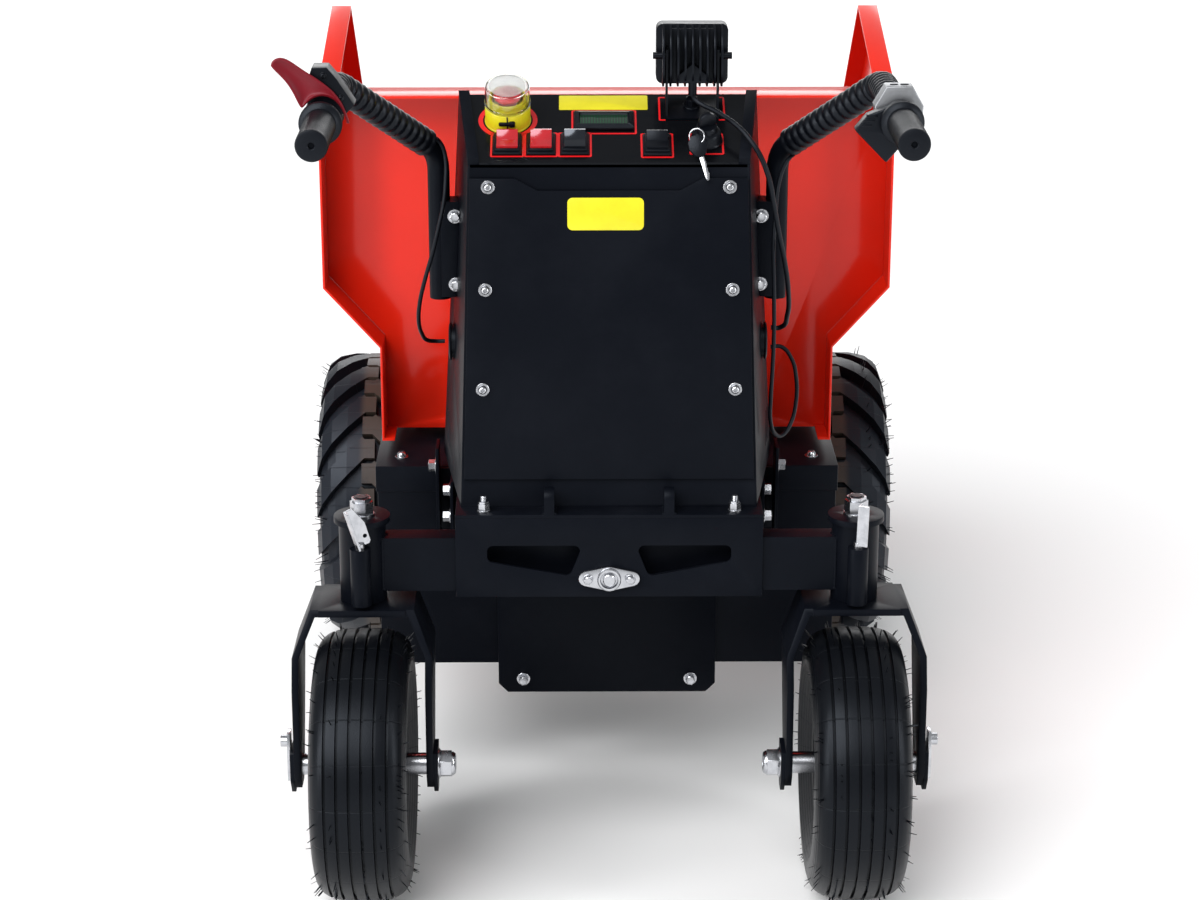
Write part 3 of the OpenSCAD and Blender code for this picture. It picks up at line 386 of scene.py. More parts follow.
def softened(node, edge, segments=2):
    """A merged copy of a CAD solid whose edges are rounded as folded and cut metal is."""
    obj = linked(node + "_body", frame["nodes"][node].data.copy())
    open_edit(obj)
    bpy.ops.mesh.remove_doubles(threshold=2e-6)
    bpy.ops.mesh.dissolve_limited(angle_limit=math.radians(0.5))
    close_edit()
    if obj.data.has_custom_normals:
        bpy.ops.mesh.customdata_custom_splitnormals_clear()
    if edge:
        rounding = obj.modifiers.new("rounding", "BEVEL")
        rounding.limit_method = "ANGLE"
        rounding.angle_limit = math.radians(38)
        rounding.width = edge
        rounding.segments = segments
        bpy.ops.object.modifier_apply(modifier=rounding.name)
    return obj


def hollow_out(obj, tool):
    """Cuts a closed tool out of a piece."""
    pocket = focus(obj).modifiers.new("pocket", "BOOLEAN")
    pocket.operation, pocket.object, pocket.solver = "DIFFERENCE", tool, "EXACT"
    bpy.ops.object.modifier_apply(modifier=pocket.name)
    bpy.data.objects.remove(tool)


def dress(obj, finish):
    """Gives every face of an object one finish."""
    obj.data.materials.clear()
    obj.data.materials.append(FINISHES[finish])
    for face in obj.data.polygons:
        face.material_index = 0


def settle(obj, name, finish, body="chassis", stands_for=None, angle=35):
    """Names, dresses and shades a piece and lets it ride on a body."""
    obj.name = obj.data.name = name
    dress(obj, finish)
    focus(obj)
    bpy.ops.object.shade_smooth_by_angle(angle=math.radians(angle))
    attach(obj, body)
    if stands_for:
        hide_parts(stands_for)


# Finishes

FINISHES = {}
# Black parts mirror the light a little blue
REFLECTION = (0.80, 0.88, 1.0)


class Value:
    """A shader socket with arithmetic: each operator adds one Math node."""

    def __init__(self, finish, socket):
        self.finish, self.socket = finish, socket

    def _math(self, operation, *terms):
        return self.finish.node("Math", {"operation": operation}, dict(enumerate(terms)))

    def __add__(self, other):
        return self._math("ADD", self, other)

    def __radd__(self, other):
        return self._math("ADD", other, self)

    def __sub__(self, other):
        return self._math("SUBTRACT", self, other)

    def __rsub__(self, other):
        return self._math("SUBTRACT", other, self)

    def __mul__(self, other):
        return self._math("MULTIPLY", self, other)

    def __rmul__(self, other):
        return self._math("MULTIPLY", other, self)

    def __truediv__(self, other):
        return self._math("DIVIDE", self, other)

    def sine(self):
        return self._math("SINE", self)

    def size(self):
        return self._math("ABSOLUTE", self)

    def step(self, low, high):
        """0 below low, 1 above high and a smooth rise between them."""
        return self.finish.node(
            "MapRange",
            {"interpolation_type": "SMOOTHSTEP"},
            {"Value": self, "From Min": low, "From Max": high},
        )


class Finish:
    """One procedural material: a Principled surface and the nodes that feed it."""

    def __init__(self, name):
        self.material = bpy.data.materials.new(name)
        self.material.use_nodes = True
        self.tree = self.material.node_tree
        self.tree.nodes.clear()
        self.shader = self.tree.nodes.new("ShaderNodeBsdfPrincipled")
        output = self.tree.nodes.new("ShaderNodeOutputMaterial")
        self.tree.links.new(self.shader.outputs[0], output.inputs["Surface"])
        self.place = self.node("TexCoord", output="Object")
        FINISHES[name] = self.material

    def node(self, kind, settings=None, inputs=None, output=0):
        """Adds any node: its settings first, then the values or links of its sockets."""
        made = self.tree.nodes.new("ShaderNode" + kind)
        for key, value in (settings or {}).items():
            setattr(made, key, value)
        for key, value in (inputs or {}).items():
            self.feed(made.inputs[key], value)
        return Value(self, made.outputs[output])

    def feed(self, socket, value):
        if isinstance(value, Value):
            self.tree.links.new(value.socket, socket)
        elif socket.type == "RGBA":
            socket.default_value = (*value, 1)
        else:
            socket.default_value = value

    def noise(self, scale, detail=2.0, roughness=0.5, stretch=(1, 1, 1)):
        place = self.node("Mapping", inputs={"Vector": self.place, "Scale": stretch})
        return self.node(
            "TexNoise", inputs={"Vector": place, "Scale": scale, "Detail": detail, "Roughness": roughness}
        )

    def cells(self, scale):
        return self.node("TexVoronoi", inputs={"Vector": self.place, "Scale": scale})

    def blend(self, factor, first, second):
        return self.node("Mix", {"data_type": "RGBA"}, {0: factor, 6: first, 7: second}, 2)

    def bump(self, height, depth, strength=1.0):
        return self.node("Bump", inputs={"Height": height, "Distance": depth, "Strength": strength})

    def along(self, vector, axis):
        return self.node("SeparateXYZ", inputs={0: vector}, output=axis)

    def normal_along(self, axis):
        return self.along(self.node("TexCoord", output="Normal"), axis)

    def surface(self, **sockets):
        for name, value in sockets.items():
            self.feed(self.shader.inputs[name.replace("_", " ")], value)


def powder_coat(colours):
    """Satin black powder coat with a fine orange peel and a faint film of dust."""
    coat = Finish("black_powder")
    peel, cloud = coat.noise(430, 2.0), coat.noise(11, 5.0, 0.62)
    grain = coat.noise(1500, 1.0)
    dust = (cloud + 0.35 * grain).step(0.58, 0.92) * (0.35 + 0.65 * coat.normal_along("Z").step(0.2, 0.9))
    coat.surface(
        Base_Color=coat.blend(dust, colours.black, colours.black_film),
        Roughness=0.30 + 0.12 * cloud + 0.06 * grain,
        Specular_IOR_Level=0.08,
        Specular_Tint=REFLECTION,
        Normal=coat.bump(0.7 * peel + 0.3 * grain, 0.00016, 0.6),
    )


def red_paint(colours):
    """Gloss red paint over folded sheet, with a slow wave and a fine orange peel."""
    coat = Finish("red_gloss")
    wave, cloud, peel = coat.noise(5, 2.0), coat.noise(17, 4.0, 0.6), coat.noise(260, 2.0)
    coat.surface(
        Base_Color=coat.blend((0.4 * cloud + 0.6 * wave).step(0.30, 0.80), colours.red, colours.red_deep),
        Roughness=0.27 + 0.10 * cloud,
        Coat_Weight=0.5,
        Coat_Roughness=0.14,
        Specular_IOR_Level=0.05,
        Normal=coat.bump(peel + wave, 0.00008, 0.4),
    )


def zinc_plate(colours):
    """Bright zinc plate, cloudy and lightly scuffed."""
    plating = Finish("zinc")
    cloud, scuff = plating.noise(90, 4.0, 0.6), plating.noise(700, 2.0, 0.5, (1, 1, 0.15))
    plating.surface(
        Base_Color=plating.blend(cloud.step(0.35, 0.7), colours.zinc, colours.zinc_grey),
        Metallic=1.0,
        Roughness=0.14 + 0.14 * cloud + 0.06 * scuff,
        Normal=plating.bump(scuff, 0.00004, 0.5),
    )


# Where the drive tyres' lugs are brownish, in metres: nearer the middle plane than the first, further from the
# axle than the second
BLOOM_ACROSS, BLOOM_OUT = (0.334, 0.346), (0.190, 0.198)


def tyre_rubber(colours, name, shade, axle_station, axle_height, polish, lines_round, specular=0.17):
    """Moulded tyre rubber: fine pores, fine rings on the sidewalls and a brownish bloom on the lands."""
    rubber = Finish(name)
    middle = spot(0, axle_station, axle_height)
    about = rubber.node("Mapping", inputs={"Vector": rubber.place, "Location": -middle})
    flat = rubber.node("VectorMath", {"operation": "MULTIPLY"}, {0: about, 1: (0, 1, 1)})
    radius = rubber.node("VectorMath", {"operation": "LENGTH"}, {0: flat}, "Value")
    rings = (radius * 1400.0).sine() * rubber.normal_along("X").size().step(0.75, 0.98)
    turn = rubber.node(
        "Math", {"operation": "ARCTAN2"}, {0: rubber.along(about, "Z"), 1: rubber.along(about, "Y")}
    )
    lines = (turn * lines_round).sine().step(0.994, 1.0)
    pores, cloud = rubber.noise(900, 2.0), rubber.noise(24, 5.0, 0.65)
    inner = 1 - rubber.along(rubber.place, "X").size().step(*BLOOM_ACROSS)
    bloom = inner * radius.step(*BLOOM_OUT) * (cloud + 0.3 * pores).step(0.25, 0.65)
    rubber.surface(
        Base_Color=rubber.blend(bloom, shade, colours.rubber_bloom),
        Roughness=polish + 0.18 * cloud + 0.08 * pores,
        Specular_IOR_Level=specular,
        Specular_Tint=REFLECTION,
        Normal=rubber.bump(0.5 * pores + 0.5 * cloud + 0.6 * rings - 3.0 * lines, 0.0003, 0.55),
    )


def moulded(name, colour, roughness, stipple, depth, specular=0.22):
    """Moulded plastic or soft rubber with a fine stipple."""
    skin = Finish(name)
    cloud, dots = skin.noise(40, 3.0, 0.6), skin.cells(stipple)
    lighter = tuple(min(1.0, c * 1.5 + 0.0005) for c in colour)
    skin.surface(
        Base_Color=skin.blend(0.64 * cloud, tuple(colour), lighter),
        Roughness=roughness + 0.14 * cloud,
        Specular_IOR_Level=specular,
        Specular_Tint=REFLECTION,
        Normal=skin.bump(dots, depth, 0.5),
    )


def panel_gloss(colours):
    """Gloss black panel with faint wiping marks."""
    gloss = Finish("panel_gloss")
    wipe, cloud = gloss.noise(60, 4.0, 0.6, (0.25, 1, 1)), gloss.noise(14, 3.0)
    gloss.surface(
        Base_Color=gloss.blend(wipe.step(0.55, 0.8), colours.panel, colours.plastic),
        Roughness=0.10 + 0.12 * wipe + 0.05 * cloud,
        Specular_IOR_Level=0.13,
        Specular_Tint=REFLECTION,
        Normal=gloss.bump(cloud, 0.0002, 0.15),
    )


def clear_part(name, colour, roughness):
    """Clear moulded plastic or glass with faint flow marks."""
    clear = Finish(name)
    flow = clear.noise(55, 3.0)
    clear.surface(
        Base_Color=clear.blend(flow, colour, tuple(c * 0.97 for c in colour)),
        Roughness=roughness + 0.03 * flow,
        IOR=1.46,
        Transmission_Weight=1.0,
        Normal=clear.bump(flow, 0.0002, 0.12),
    )


def frosted():
    """A painted glare: a milky white, half see-through sheet under the clear cap's top stands in for the cap's
    highlight.
    """
    glare_sheet = Finish("frosted")
    flow = glare_sheet.noise(70, 3.0)
    glare_sheet.surface(Base_Color=(0.95, 0.95, 0.93), Roughness=0.3, Alpha=0.18 + 0.3 * flow)


def metal(name, colour, roughness, grain, metallic=1.0, stretch=(1, 1, 1)):
    """Cast, drawn or coated metal."""
    skin = Finish(name)
    cloud, grit = skin.noise(35, 4.0, 0.6), skin.noise(grain, 2.0, 0.5, stretch)
    skin.surface(
        Base_Color=skin.blend(cloud.step(0.3, 0.75), colour, tuple(c * 0.7 for c in colour)),
        Metallic=metallic,
        Roughness=roughness + 0.16 * cloud,
        Normal=skin.bump(grit, 0.0003, 0.5),
    )


def display_glass(colours):
    """Dark gauge window with a faint row of segments behind it."""
    glass = Finish("display")
    bars = (glass.along(glass.place, "X") * 1900.0).sine().step(-0.2, 0.3)
    band = glass.noise(120, 2.0)
    glass.surface(
        Base_Color=glass.blend(bars * 0.55, colours.display, (0.010, 0.075, 0.030)),
        Roughness=0.08 + 0.05 * band,
        Normal=glass.bump(band, 0.0001, 0.1),
    )


def make_finishes(colours):
    powder_coat(colours)
    red_paint(colours)
    zinc_plate(colours)
    # The drive tyres' shade is lighter, bluish rubber: a painted sheen.
    tyre_rubber(colours, "tyre_rubber", colours.drive_rubber_painted_sheen, DRIVE_Y, DRIVE_Z, 0.28, 46, 0.26)
    tyre_rubber(colours, "caster_rubber", colours.rubber, CASTER_Y, CASTER_Z, 0.22, 19)
    panel_gloss(colours)
    display_glass(colours)
    moulded("black_plastic", colours.plastic, 0.26, 900, 0.00012)
    moulded("soft_rubber", colours.plastic, 0.34, 620, 0.0002)
    moulded("cable_black", colours.plastic, 0.34, 1400, 0.0001)
    moulded("yellow_plastic", colours.yellow, 0.26, 500, 0.00005, 0.5)
    moulded("red_plastic", colours.signal_red, 0.22, 500, 0.00005, 0.5)
    moulded("lens_red", colours.lens_red, 0.06, 400, 0.00003, 1.0)
    moulded("lens_black", colours.plastic, 0.06, 400, 0.00003, 0.8)
    moulded("lever_red", colours.lever_red, 0.34, 700, 0.0001, 0.3)
    moulded("battery_case", (0.05, 0.06, 0.08), 0.45, 500, 0.0002)
    moulded("led_yellow", (0.85, 0.70, 0.10), 0.25, 800, 0.0001)
    clear_part("clear_plastic", (0.97, 0.98, 0.98), 0.02)
    # A painted glare for the inside of the stop switch's clear cap.
    frosted()
    clear_part("lamp_glass", (0.93, 0.96, 0.97), 0.03)
    metal("cast_housing", (0.020, 0.021, 0.024), 0.46, 420, 0.0)
    metal("motor_case", (0.10, 0.10, 0.11), 0.34, 300)
    metal("actuator_case", (0.30, 0.31, 0.32), 0.30, 500, 1.0, (1, 0.2, 0.2))
    metal("cast_alloy", (0.42, 0.43, 0.45), 0.34, 600)
    metal("rim_black", (0.012, 0.013, 0.015), 0.32, 500, 0.0)


# Operators, one for each piece or group of like pieces


class DUMPER_OT_finishes(bpy.types.Operator):
    """Makes the finishes and gives each CAD node the one of its material slot"""

    bl_idname = "dumper.finishes"
    bl_label = "Finishes"

    def execute(self, context):
        make_finishes(context.scene.dumper_colours)
        finishes = {**SLOTS, "brake_lever": "lever_red"}
        finishes.update({f"caster_tyre_{side}": "caster_rubber" for side in SIDE_NAMES.values()})
        for name, obj in frame["nodes"].items():
            dress(obj, finishes[name])
        return {"FINISHED"}


CABLES = {
    "brake_cable": {
        "node": "cable_left",
        "diameter": 5,
        "length": 0.3015,
        "route": (
            (-200.6, 175.2, 878.1), (-197, 180, 873), (-193, 181, 865), (-190, 177, 850), (-190, 170, 832),
            (-192, 161, 808), (-198, 152, 780), (-206, 148, 748), (-216, 152, 714), (-223, 158, 684),
            (-225, 164, 660), (-222, 178, 640), (-217, 191, 629), (-207, 200, 625), (-196.1, 200, 625),
        ),
    },
    "throttle_cable": {
        "node": "cable_right",
        "diameter": 5,
        "length": 0.5058,
        "route": (
            (216.5, 172.9, 859), (213, 176, 855), (207, 176, 846), (200, 170, 826), (196, 156, 798),
            (193, 140, 760), (194, 134, 710), (195, 132, 650), (194, 132, 606), (193, 136, 570),
            (194, 144, 540), (200, 154, 522), (210, 166, 516), (220, 176, 526), (227, 184, 552),
            (227, 190, 582), (221, 197, 604), (209, 200, 617), (196.1, 200, 617),
        ),
    },
    "lamp_lead": {
        "node": "lamp_cable",
        "diameter": 6,
        "length": 0.3898,
        "route": (
            (98, 181, 927.9), (101, 180, 923), (109, 175, 918), (121, 165, 914), (135, 151, 908),
            (149, 136, 900), (161, 123, 889), (173, 115, 872), (184, 114, 845), (191, 119, 812),
            (198, 128, 776), (207, 143, 736), (213, 159, 697), (214, 180, 662), (207, 200, 641),
            (196.1, 200, 641),
        ),
    },
}


class DUMPER_OT_cables(bpy.types.Operator):
    """Draws the brake's, throttle's and lamp's cables along their routes"""

    bl_idname = "dumper.cables"
    bl_label = "Cables"

    def execute(self, context):
        for name, cable in CABLES.items():
            route = [spot(*point) for point in cable["route"]]
            diameter = cable["diameter"] * MM
            obj, knots = round_curve(name, "BEZIER", len(route), diameter / 2, 4)
            for knot, point in zip(knots, route):
                knot.co = point
                knot.handle_left_type = knot.handle_right_type = "AUTO"
            obj.data.materials.append(FINISHES["cable_black"])
            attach(obj, "chassis")
            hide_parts(cable["node"])
        return {"FINISHED"}


# The rounding of each node of sheet metal
SHEET_METAL = {
    "chassis_box": "fold", "belly_tray": "fold", "front_subframe": "fold", "rear_spine": "fold",
    "rear_apron": "cut", "spine_brackets": "cut", "rear_beam": "fold", "console_shell": "fold",
    "console_cover": "cut", "bar_brackets": "cut", "fork_left": "fold", "fork_right": "fold",
    "skip_floor": "cut", "skip_sides": "cut", "skip_rear_wall": "cut", "skip_frame": "fold",
    "transaxle": "fold",
}
FORK_BODIES = {"fork_left": "caster_left", "fork_right": "caster_right"}


class DUMPER_OT_sheet_metal(bpy.types.Operator):
    """Rounds the edges of the folded and welded steel"""

    bl_idname = "dumper.sheet_metal"
    bl_label = "Sheet metal"

    def execute(self, context):
        sizes = context.scene.dumper_sizes
        for node, edge in SHEET_METAL.items():
            obj = softened(node, getattr(sizes, edge))
            if node == "rear_beam":
                hollow_out(obj, block((-166, 30 - REAR_AXLE, 371), (166, 63 - REAR_AXLE, 427), 1.0))
            body = "skip" if node.startswith("skip_") else FORK_BODIES.get(node, "chassis")
            settle(obj, node + "_steel", SLOTS[node], body, node)
        return {"FINISHED"}


def hexagon(width, tall, foot):
    """A hexagon that stands at a height, in millimetres, left in edit mode with its top picked."""
    clear_selection()
    bpy.ops.mesh.primitive_cylinder_add(
        vertices=6, radius=width / math.sqrt(3) * MM, depth=tall * MM, location=(0, 0, (foot + tall / 2) * MM)
    )
    obj = bpy.context.object
    apply_place()
    open_edit(obj, looks_up)
    return obj


def washer(rim, thick):
    """A washer of a radius and thickness, in millimetres, its upper edge broken."""
    return turned([(0, 0), (rim, 0), (rim, thick - 0.4), (rim - 0.4, thick), (0, thick)], 28)


def hex_bolt(width, washer_d):
    """A hexagon bolt head with a chamfered crown on a washer, standing on z = 0, in millimetres."""
    washer_t = 1.8
    head = hexagon(width, width * 0.6, washer_t)
    step_in(width * 0.09, width * 0.06)
    step_in(width * 0.12, -width * 0.03)
    close_edit()
    return joined(head, washer(washer_d / 2, washer_t))


def dome_screw(head_d, washer_d):
    """A dome-headed screw with a socket, on a washer, standing on z = 0, in millimetres."""
    r, w, t = head_d / 2, washer_d / 2, 1.6
    h = head_d * 0.5
    profile = [
        (0, t + h * 0.45), (r * 0.42, t + h * 0.45), (r * 0.45, t + h * 0.96), (r * 0.62, t + h * 0.9),
        (r * 0.85, t + h * 0.62), (r * 0.97, t + h * 0.25), (r, t), (w - 0.5, t), (w, t - 0.4), (w, 0),
        (0, 0),
    ]
    return turned(profile, 28)


def lock_nut(width, stud_d, stud_over):
    """A nut with a nylon collar on the end of its stud, standing on z = 0, in millimetres."""
    tall, washer_t, pitch = width * 0.62, 2, 1.5
    nut = hexagon(width, tall, washer_t)
    step_in(width * 0.08, width * 0.05)
    pull_up(width * 0.14)
    close_edit()
    s, top = stud_d / 2, washer_t + tall + stud_over
    threads = []
    for k in range(int(stud_over / pitch) + 2):
        threads += [(s, top - 1 - pitch * k), (s - 0.7, top - 1.75 - pitch * k)]
    stud = turned([(0, top), (s - 0.8, top)] + threads, 24)
    return joined(nut, stud, washer(width * 0.62, washer_t))


class DUMPER_OT_fasteners(bpy.types.Operator):
    """Bolts, screws, nuts and washers in zinc"""

    bl_idname = "dumper.fasteners"
    bl_label = "Fasteners"

    def execute(self, context):
        cover = [on_cover(s * u, v) for s in SIDES for u, v in ((139, 377), (143, 258), (147, 141))]
        settle(repeated(dome_screw(11, 15.5), cover), "cover_screws", "zinc")

        tray_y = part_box("belly_tray")[0].y
        heads = [facing(Vector((s * 0.107, tray_y, 0.150)), REARWARDS, 0.3 * s) for s in SIDES]
        heads += [facing(spot(s * 181, 184, z), REARWARDS, 0.2 * z) for s in SIDES for z in (700, 783)]
        settle(repeated(hex_bolt(11, 17), heads), "panel_bolts", "zinc")

        flange = [facing(spot(s * 25, 28, 384), REARWARDS, 0.4) for s in SIDES]
        settle(repeated(hex_bolt(9, 12), flange), "flange_bolts", "zinc")

        plates = []
        for s in SIDES:
            plates += [facing(spot(s * 213, 276, 441), (s, 0, 0), 0.2)]
            plates += [facing(spot(s * 195, y, z), (s, 0, 0), 0.5) for y, z in ((262, 414), (250, 384))]
        settle(repeated(hex_bolt(13, 20), plates), "bracket_bolts", "zinc")

        lid = [facing(spot(s * 260, y, 434), UPWARDS) for s in SIDES for y in (330, 590)]
        settle(repeated(dome_screw(12, 17), lid), "lid_screws", "zinc")

        studs = [facing(spot(s * 147, 48, 462), UPWARDS, 0.25) for s in SIDES]
        settle(repeated(lock_nut(13, 8, 9), studs), "deck_studs", "zinc")
        return {"FINISHED"}


BORDER_LINE, BORDER_CORNER = 2.2, 2


def border(width, height, thick):
    """A printed frame of four lines, lying on z = 0, in millimetres."""
    obj = flat_face(rounded_outline(width, height, BORDER_CORNER, 3))
    open_edit(obj)
    bpy.ops.mesh.inset(thickness=BORDER_LINE * MM)
    bpy.ops.mesh.delete(type="FACE")
    bpy.ops.mesh.select_all(action="SELECT")
    pull_up(thick)
    close_solid()
    return obj


# Middle and size of each border on the panel
BORDERS = (
    (-117, 34, 39, 46), (-78, 34, 39, 46), (-39, 34, 39, 46), (56, 32, 38, 46), (-5, 77, 76, 46),
    (98, 103, 78, 46), (113, 35, 40, 40),
)


class DUMPER_OT_labels(bpy.types.Operator):
    """Blank yellow plates and the red printed borders of the panel"""

    bl_idname = "dumper.labels"
    bl_label = "Labels"

    def execute(self, context):
        thick = context.scene.dumper_sizes.print_t / MM
        for name, width, height, corner, place in (
            ("cover_label", 88, 37.5, 6, on_cover(-3.8, 346)),
            ("panel_label", 104, 28, 1.5, on_panel(-5.5, 115)),
        ):
            sticker = plate(rounded_outline(width, height, corner), 0, thick, 0.1)
            settle(set_place(sticker, place), name, "yellow_plastic")
        lines = [set_place(border(w, h, thick), on_panel(u, v)) for u, v, w, h in BORDERS]
        ring = turned([(29, 0), (34.5, 0), (34.5, thick), (29, thick), (29, 0)], 56)
        lines.append(set_place(ring, on_panel(*STOP_AT)))
        settle(joined(*lines), "panel_borders", "red_plastic")
        return {"FINISHED"}


# Turned pieces of the stop switch: name, finish, slot, the node that each stands for, steps round and profile
STOP_PIECES = (
    ("stop_base_shell", "yellow_plastic", "yellow_plastic", "stop_base", 56, (
        (0, 0), (27, 0), (27, 1.5), (26.4, 2), (26.4, 22.5), (25.8, 24), (24.8, 24.8), (23.2, 25), (23.2, 22),
        (0, 22))),
    ("stop_button_head", "red_plastic", "red_plastic", "stop_button", 48, (
        (0, 41), (8, 40.7), (13.4, 39.4), (15.6, 37.2), (15.8, 34.6), (14.4, 32.6), (11, 31.6), (10.5, 22.1),
        (0, 22.1))),
    ("stop_collar", "yellow_plastic", "yellow_plastic", None, 48, (
        (17.5, 22.1), (22.4, 22.1), (22.6, 30), (21.8, 34), (20.4, 35), (18.4, 34), (17.5, 22.1))),
    # A thin white sheet under the cap's top: a painted glare, not frosting.
    ("stop_cap_frost", "frosted", "clear_plastic", None, 48, (
        (0, 49.2), (21, 48.8), (21, 48.4), (0, 48.8))),
    ("stop_cap", "clear_plastic", "clear_plastic", "stop_cover", 56, (
        (26, 24.9), (26.8, 25.5), (26.8, 28.5), (26.3, 29), (26.1, 46), (25.1, 49), (22.5, 50.6), (12, 51.2),
        (0, 51.3), (0, 49.6), (12, 49.5), (21.6, 48.9), (23.6, 47.6), (24.4, 45), (24.4, 24.9), (26, 24.9))),
)


class DUMPER_OT_stop_switch(bpy.types.Operator):
    """Stop switch: yellow base with a latch, red button and a clear cap"""

    bl_idname = "dumper.stop_switch"
    bl_label = "Stop switch"

    def execute(self, context):
        place = on_panel(*STOP_AT)
        for name, finish, slot, node, steps, profile in STOP_PIECES:
            settle(set_place(turned(profile, steps), place), name, finish, stands_for=node)
        latch = [
            block((-10, -28.6, 12), (5, -25.4, 17), 1.4),
            block((2, -29, 10.5), (9, -25.4, 18.5), 1.6),
            block((-0.8, -27.4, 0.6), (0.8, -25.6, 24), 0.4),
        ]
        settle(set_place(joined(*latch), place), "stop_latch", "black_plastic")
        return {"FINISHED"}


# The rocker's side view, the turn that lays a side view across the part, and the places of the rockers
ROCKER_SIDE = ((-14, 3), (14, 3), (14, 13.6), (11, 14.6), (1.5, 8.8), (-1.5, 8.4), (-11, 10), (-14, 9.4))
SIDEWAYS = Matrix(((0, 0, 1, 0), (1, 0, 0, 0), (0, 1, 0, 0), (0, 0, 0, 1)))
ROCKERS = ((-117, 33, "lens_red"), (-78, 33, "lens_red"), (-39, 33, "lens_black"), (56, 31, "black_plastic"))


class DUMPER_OT_rockers(bpy.types.Operator):
    """Rocker switches in stepped bezels, two of them red"""

    bl_idname = "dumper.rockers"
    bl_label = "Rockers"

    def execute(self, context):
        bezels, keys = [], {"lens_red": [], "lens_black": [], "black_plastic": []}
        for u, v, finish in ROCKERS:
            place = on_panel(u, v)
            bezels.append(set_place(block((-16.5, -19.5, 0), (16.5, 19.5, 4), 1.4), place))
            bezels.append(set_place(block((-14.6, -16.6, 3.6), (14.6, 16.6, 7), 1.4), place))
            rocker = plate(ROCKER_SIDE, -12.4, 12.4, 0.9)
            set_place(rocker, SIDEWAYS)
            keys[finish].append(set_place(rocker, place))
        settle(joined(*bezels), "rocker_bezels", "black_plastic", stands_for="rocker_switches")
        settle(joined(*keys["lens_black"]), "rocker_gloss_key", "lens_black")
        settle(joined(*keys["black_plastic"]), "rocker_key", "black_plastic")
        settle(joined(*keys["lens_red"]), "rocker_lit_keys", "lens_red",
               stands_for="rocker_lenses")
        return {"FINISHED"}


class DUMPER_OT_gauge(bpy.types.Operator):
    """Battery gauge: a raised bezel round a dark window"""

    bl_idname = "dumper.gauge"
    bl_label = "Battery gauge"

    def execute(self, context):
        place = on_panel(-5, 77)
        bezel = block((-35, -17, 0), (35, 17, 5), 1.4)
        open_edit(bezel, looks_up)
        bpy.ops.mesh.inset(thickness=6 * MM)
        bpy.ops.mesh.inset(thickness=1 * MM, depth=-1.6 * MM)
        close_edit()
        settle(set_place(bezel, place), "gauge_bezel", "black_plastic", stands_for="battery_gauge")
        window = plate(rounded_outline(56, 19.5, 1), 3.2, 4.0, 0.2)
        settle(set_place(window, place), "gauge_window", "display")
        return {"FINISHED"}


KEY_BARREL = (
    (0, 0), (19, 0), (19, 3), (17.5, 5), (17, 13), (15.5, 15.5), (12.5, 16.5), (12, 22), (11, 23.5),
    (0, 23.5),
)
KEY_BOW = (
    (-3, 10), (3, 10), (4, 18), (10, 23), (11, 30), (8, 37), (3, 40), (-3, 40), (-8, 37), (-11, 30),
    (-10, 23), (-4, 18),
)
SPARE_BOW = (
    (-4, -1), (4, -1), (10, -7), (11, -16), (7, -24), (3, -27), (-3, -27), (-7, -24), (-11, -16), (-10, -7),
)
SPARE_BLADE = (
    (-2.6, -26), (3, -26), (3, -38), (2, -40), (3, -42), (2.2, -45), (3, -48), (1, -55), (-1.5, -56),
    (-2.6, -53),
)


class DUMPER_OT_key(bpy.types.Operator):
    """Key switch with a key in it and a second key on the ring"""

    bl_idname = "dumper.key"
    bl_label = "Key switch"

    def execute(self, context):
        barrel = turned(KEY_BARREL, 48)
        bow = set_place(plate(KEY_BOW, -3, 3, 1.1), rotation(20, "Z") @ rotation(90, "X"))
        settle(set_place(joined(barrel, bow), on_panel(*KEY_AT)), "key_barrel", "black_plastic",
               stands_for="key_switch")
        spare = on_panel(KEY_AT[0] - 15, KEY_AT[1] - 19, 24) @ rotation(40, "X") @ rotation(17, "Z")
        head = plate(SPARE_BOW, -2.6, 2.6, 1.1)
        settle(set_place(head, spare), "spare_key_head", "black_plastic")
        blade = plate(SPARE_BLADE, -0.9, 0.9, 0.3)
        clear_selection()
        bpy.ops.mesh.primitive_torus_add(
            major_radius=8.6 * MM, minor_radius=0.8 * MM, major_segments=40, minor_segments=8,
            location=(2 * MM, -3 * MM, 3.2 * MM), rotation=(math.radians(14), math.radians(-12), 0),
        )
        loop = bpy.context.object
        apply_place()
        settle(set_place(joined(blade, loop), spare), "spare_key_blade", "zinc")
        return {"FINISHED"}


class DUMPER_OT_lamp(bpy.types.Operator):
    """Work lamp: finned housing on its bracket, reflectors behind a glass"""

    bl_idname = "dumper.lamp"
    bl_label = "Work lamp"

    def execute(self, context):
        cut = context.scene.dumper_sizes.cut
        settle(softened("lamp_housing", cut), "lamp_case", "black_plastic",
               stands_for="lamp_housing")
        settle(softened("lamp_bracket", cut), "lamp_stirrup", "black_plastic", stands_for="lamp_bracket")
        forward = Matrix.Translation(spot(*LAMP_MID)) @ rotation(-90, "X")
        glass = plate(rounded_outline(75.6, 61.6, 4), 24.4, 26.2, 0.4)
        settle(set_place(glass, forward), "lamp_window", "lamp_glass", stands_for="lamp_lens")
        grid = [
            forward @ Matrix.Translation((u * 24 * MM, v * 19.5 * MM, 20.1 * MM))
            for u in (-1, 0, 1) for v in (-1, 0, 1)
        ]
        cup = turned([(3.4, 0), (9.2, 3.6), (9.6, 3.6), (9.6, 3.0), (4, 0), (3.4, 0)], 24)
        settle(repeated(cup, grid), "lamp_cups", "zinc")
        light = turned([(0, 2.4), (1.6, 2.1), (2.8, 1.0), (3.2, 0), (0, 0)], 20)
        settle(repeated(light, grid), "lamp_lights", "led_yellow")
        settle(set_place(hex_bolt(13, 20), on_panel(98, 106, 3)), "lamp_bolt", "black_plastic")
        return {"FINISHED"}


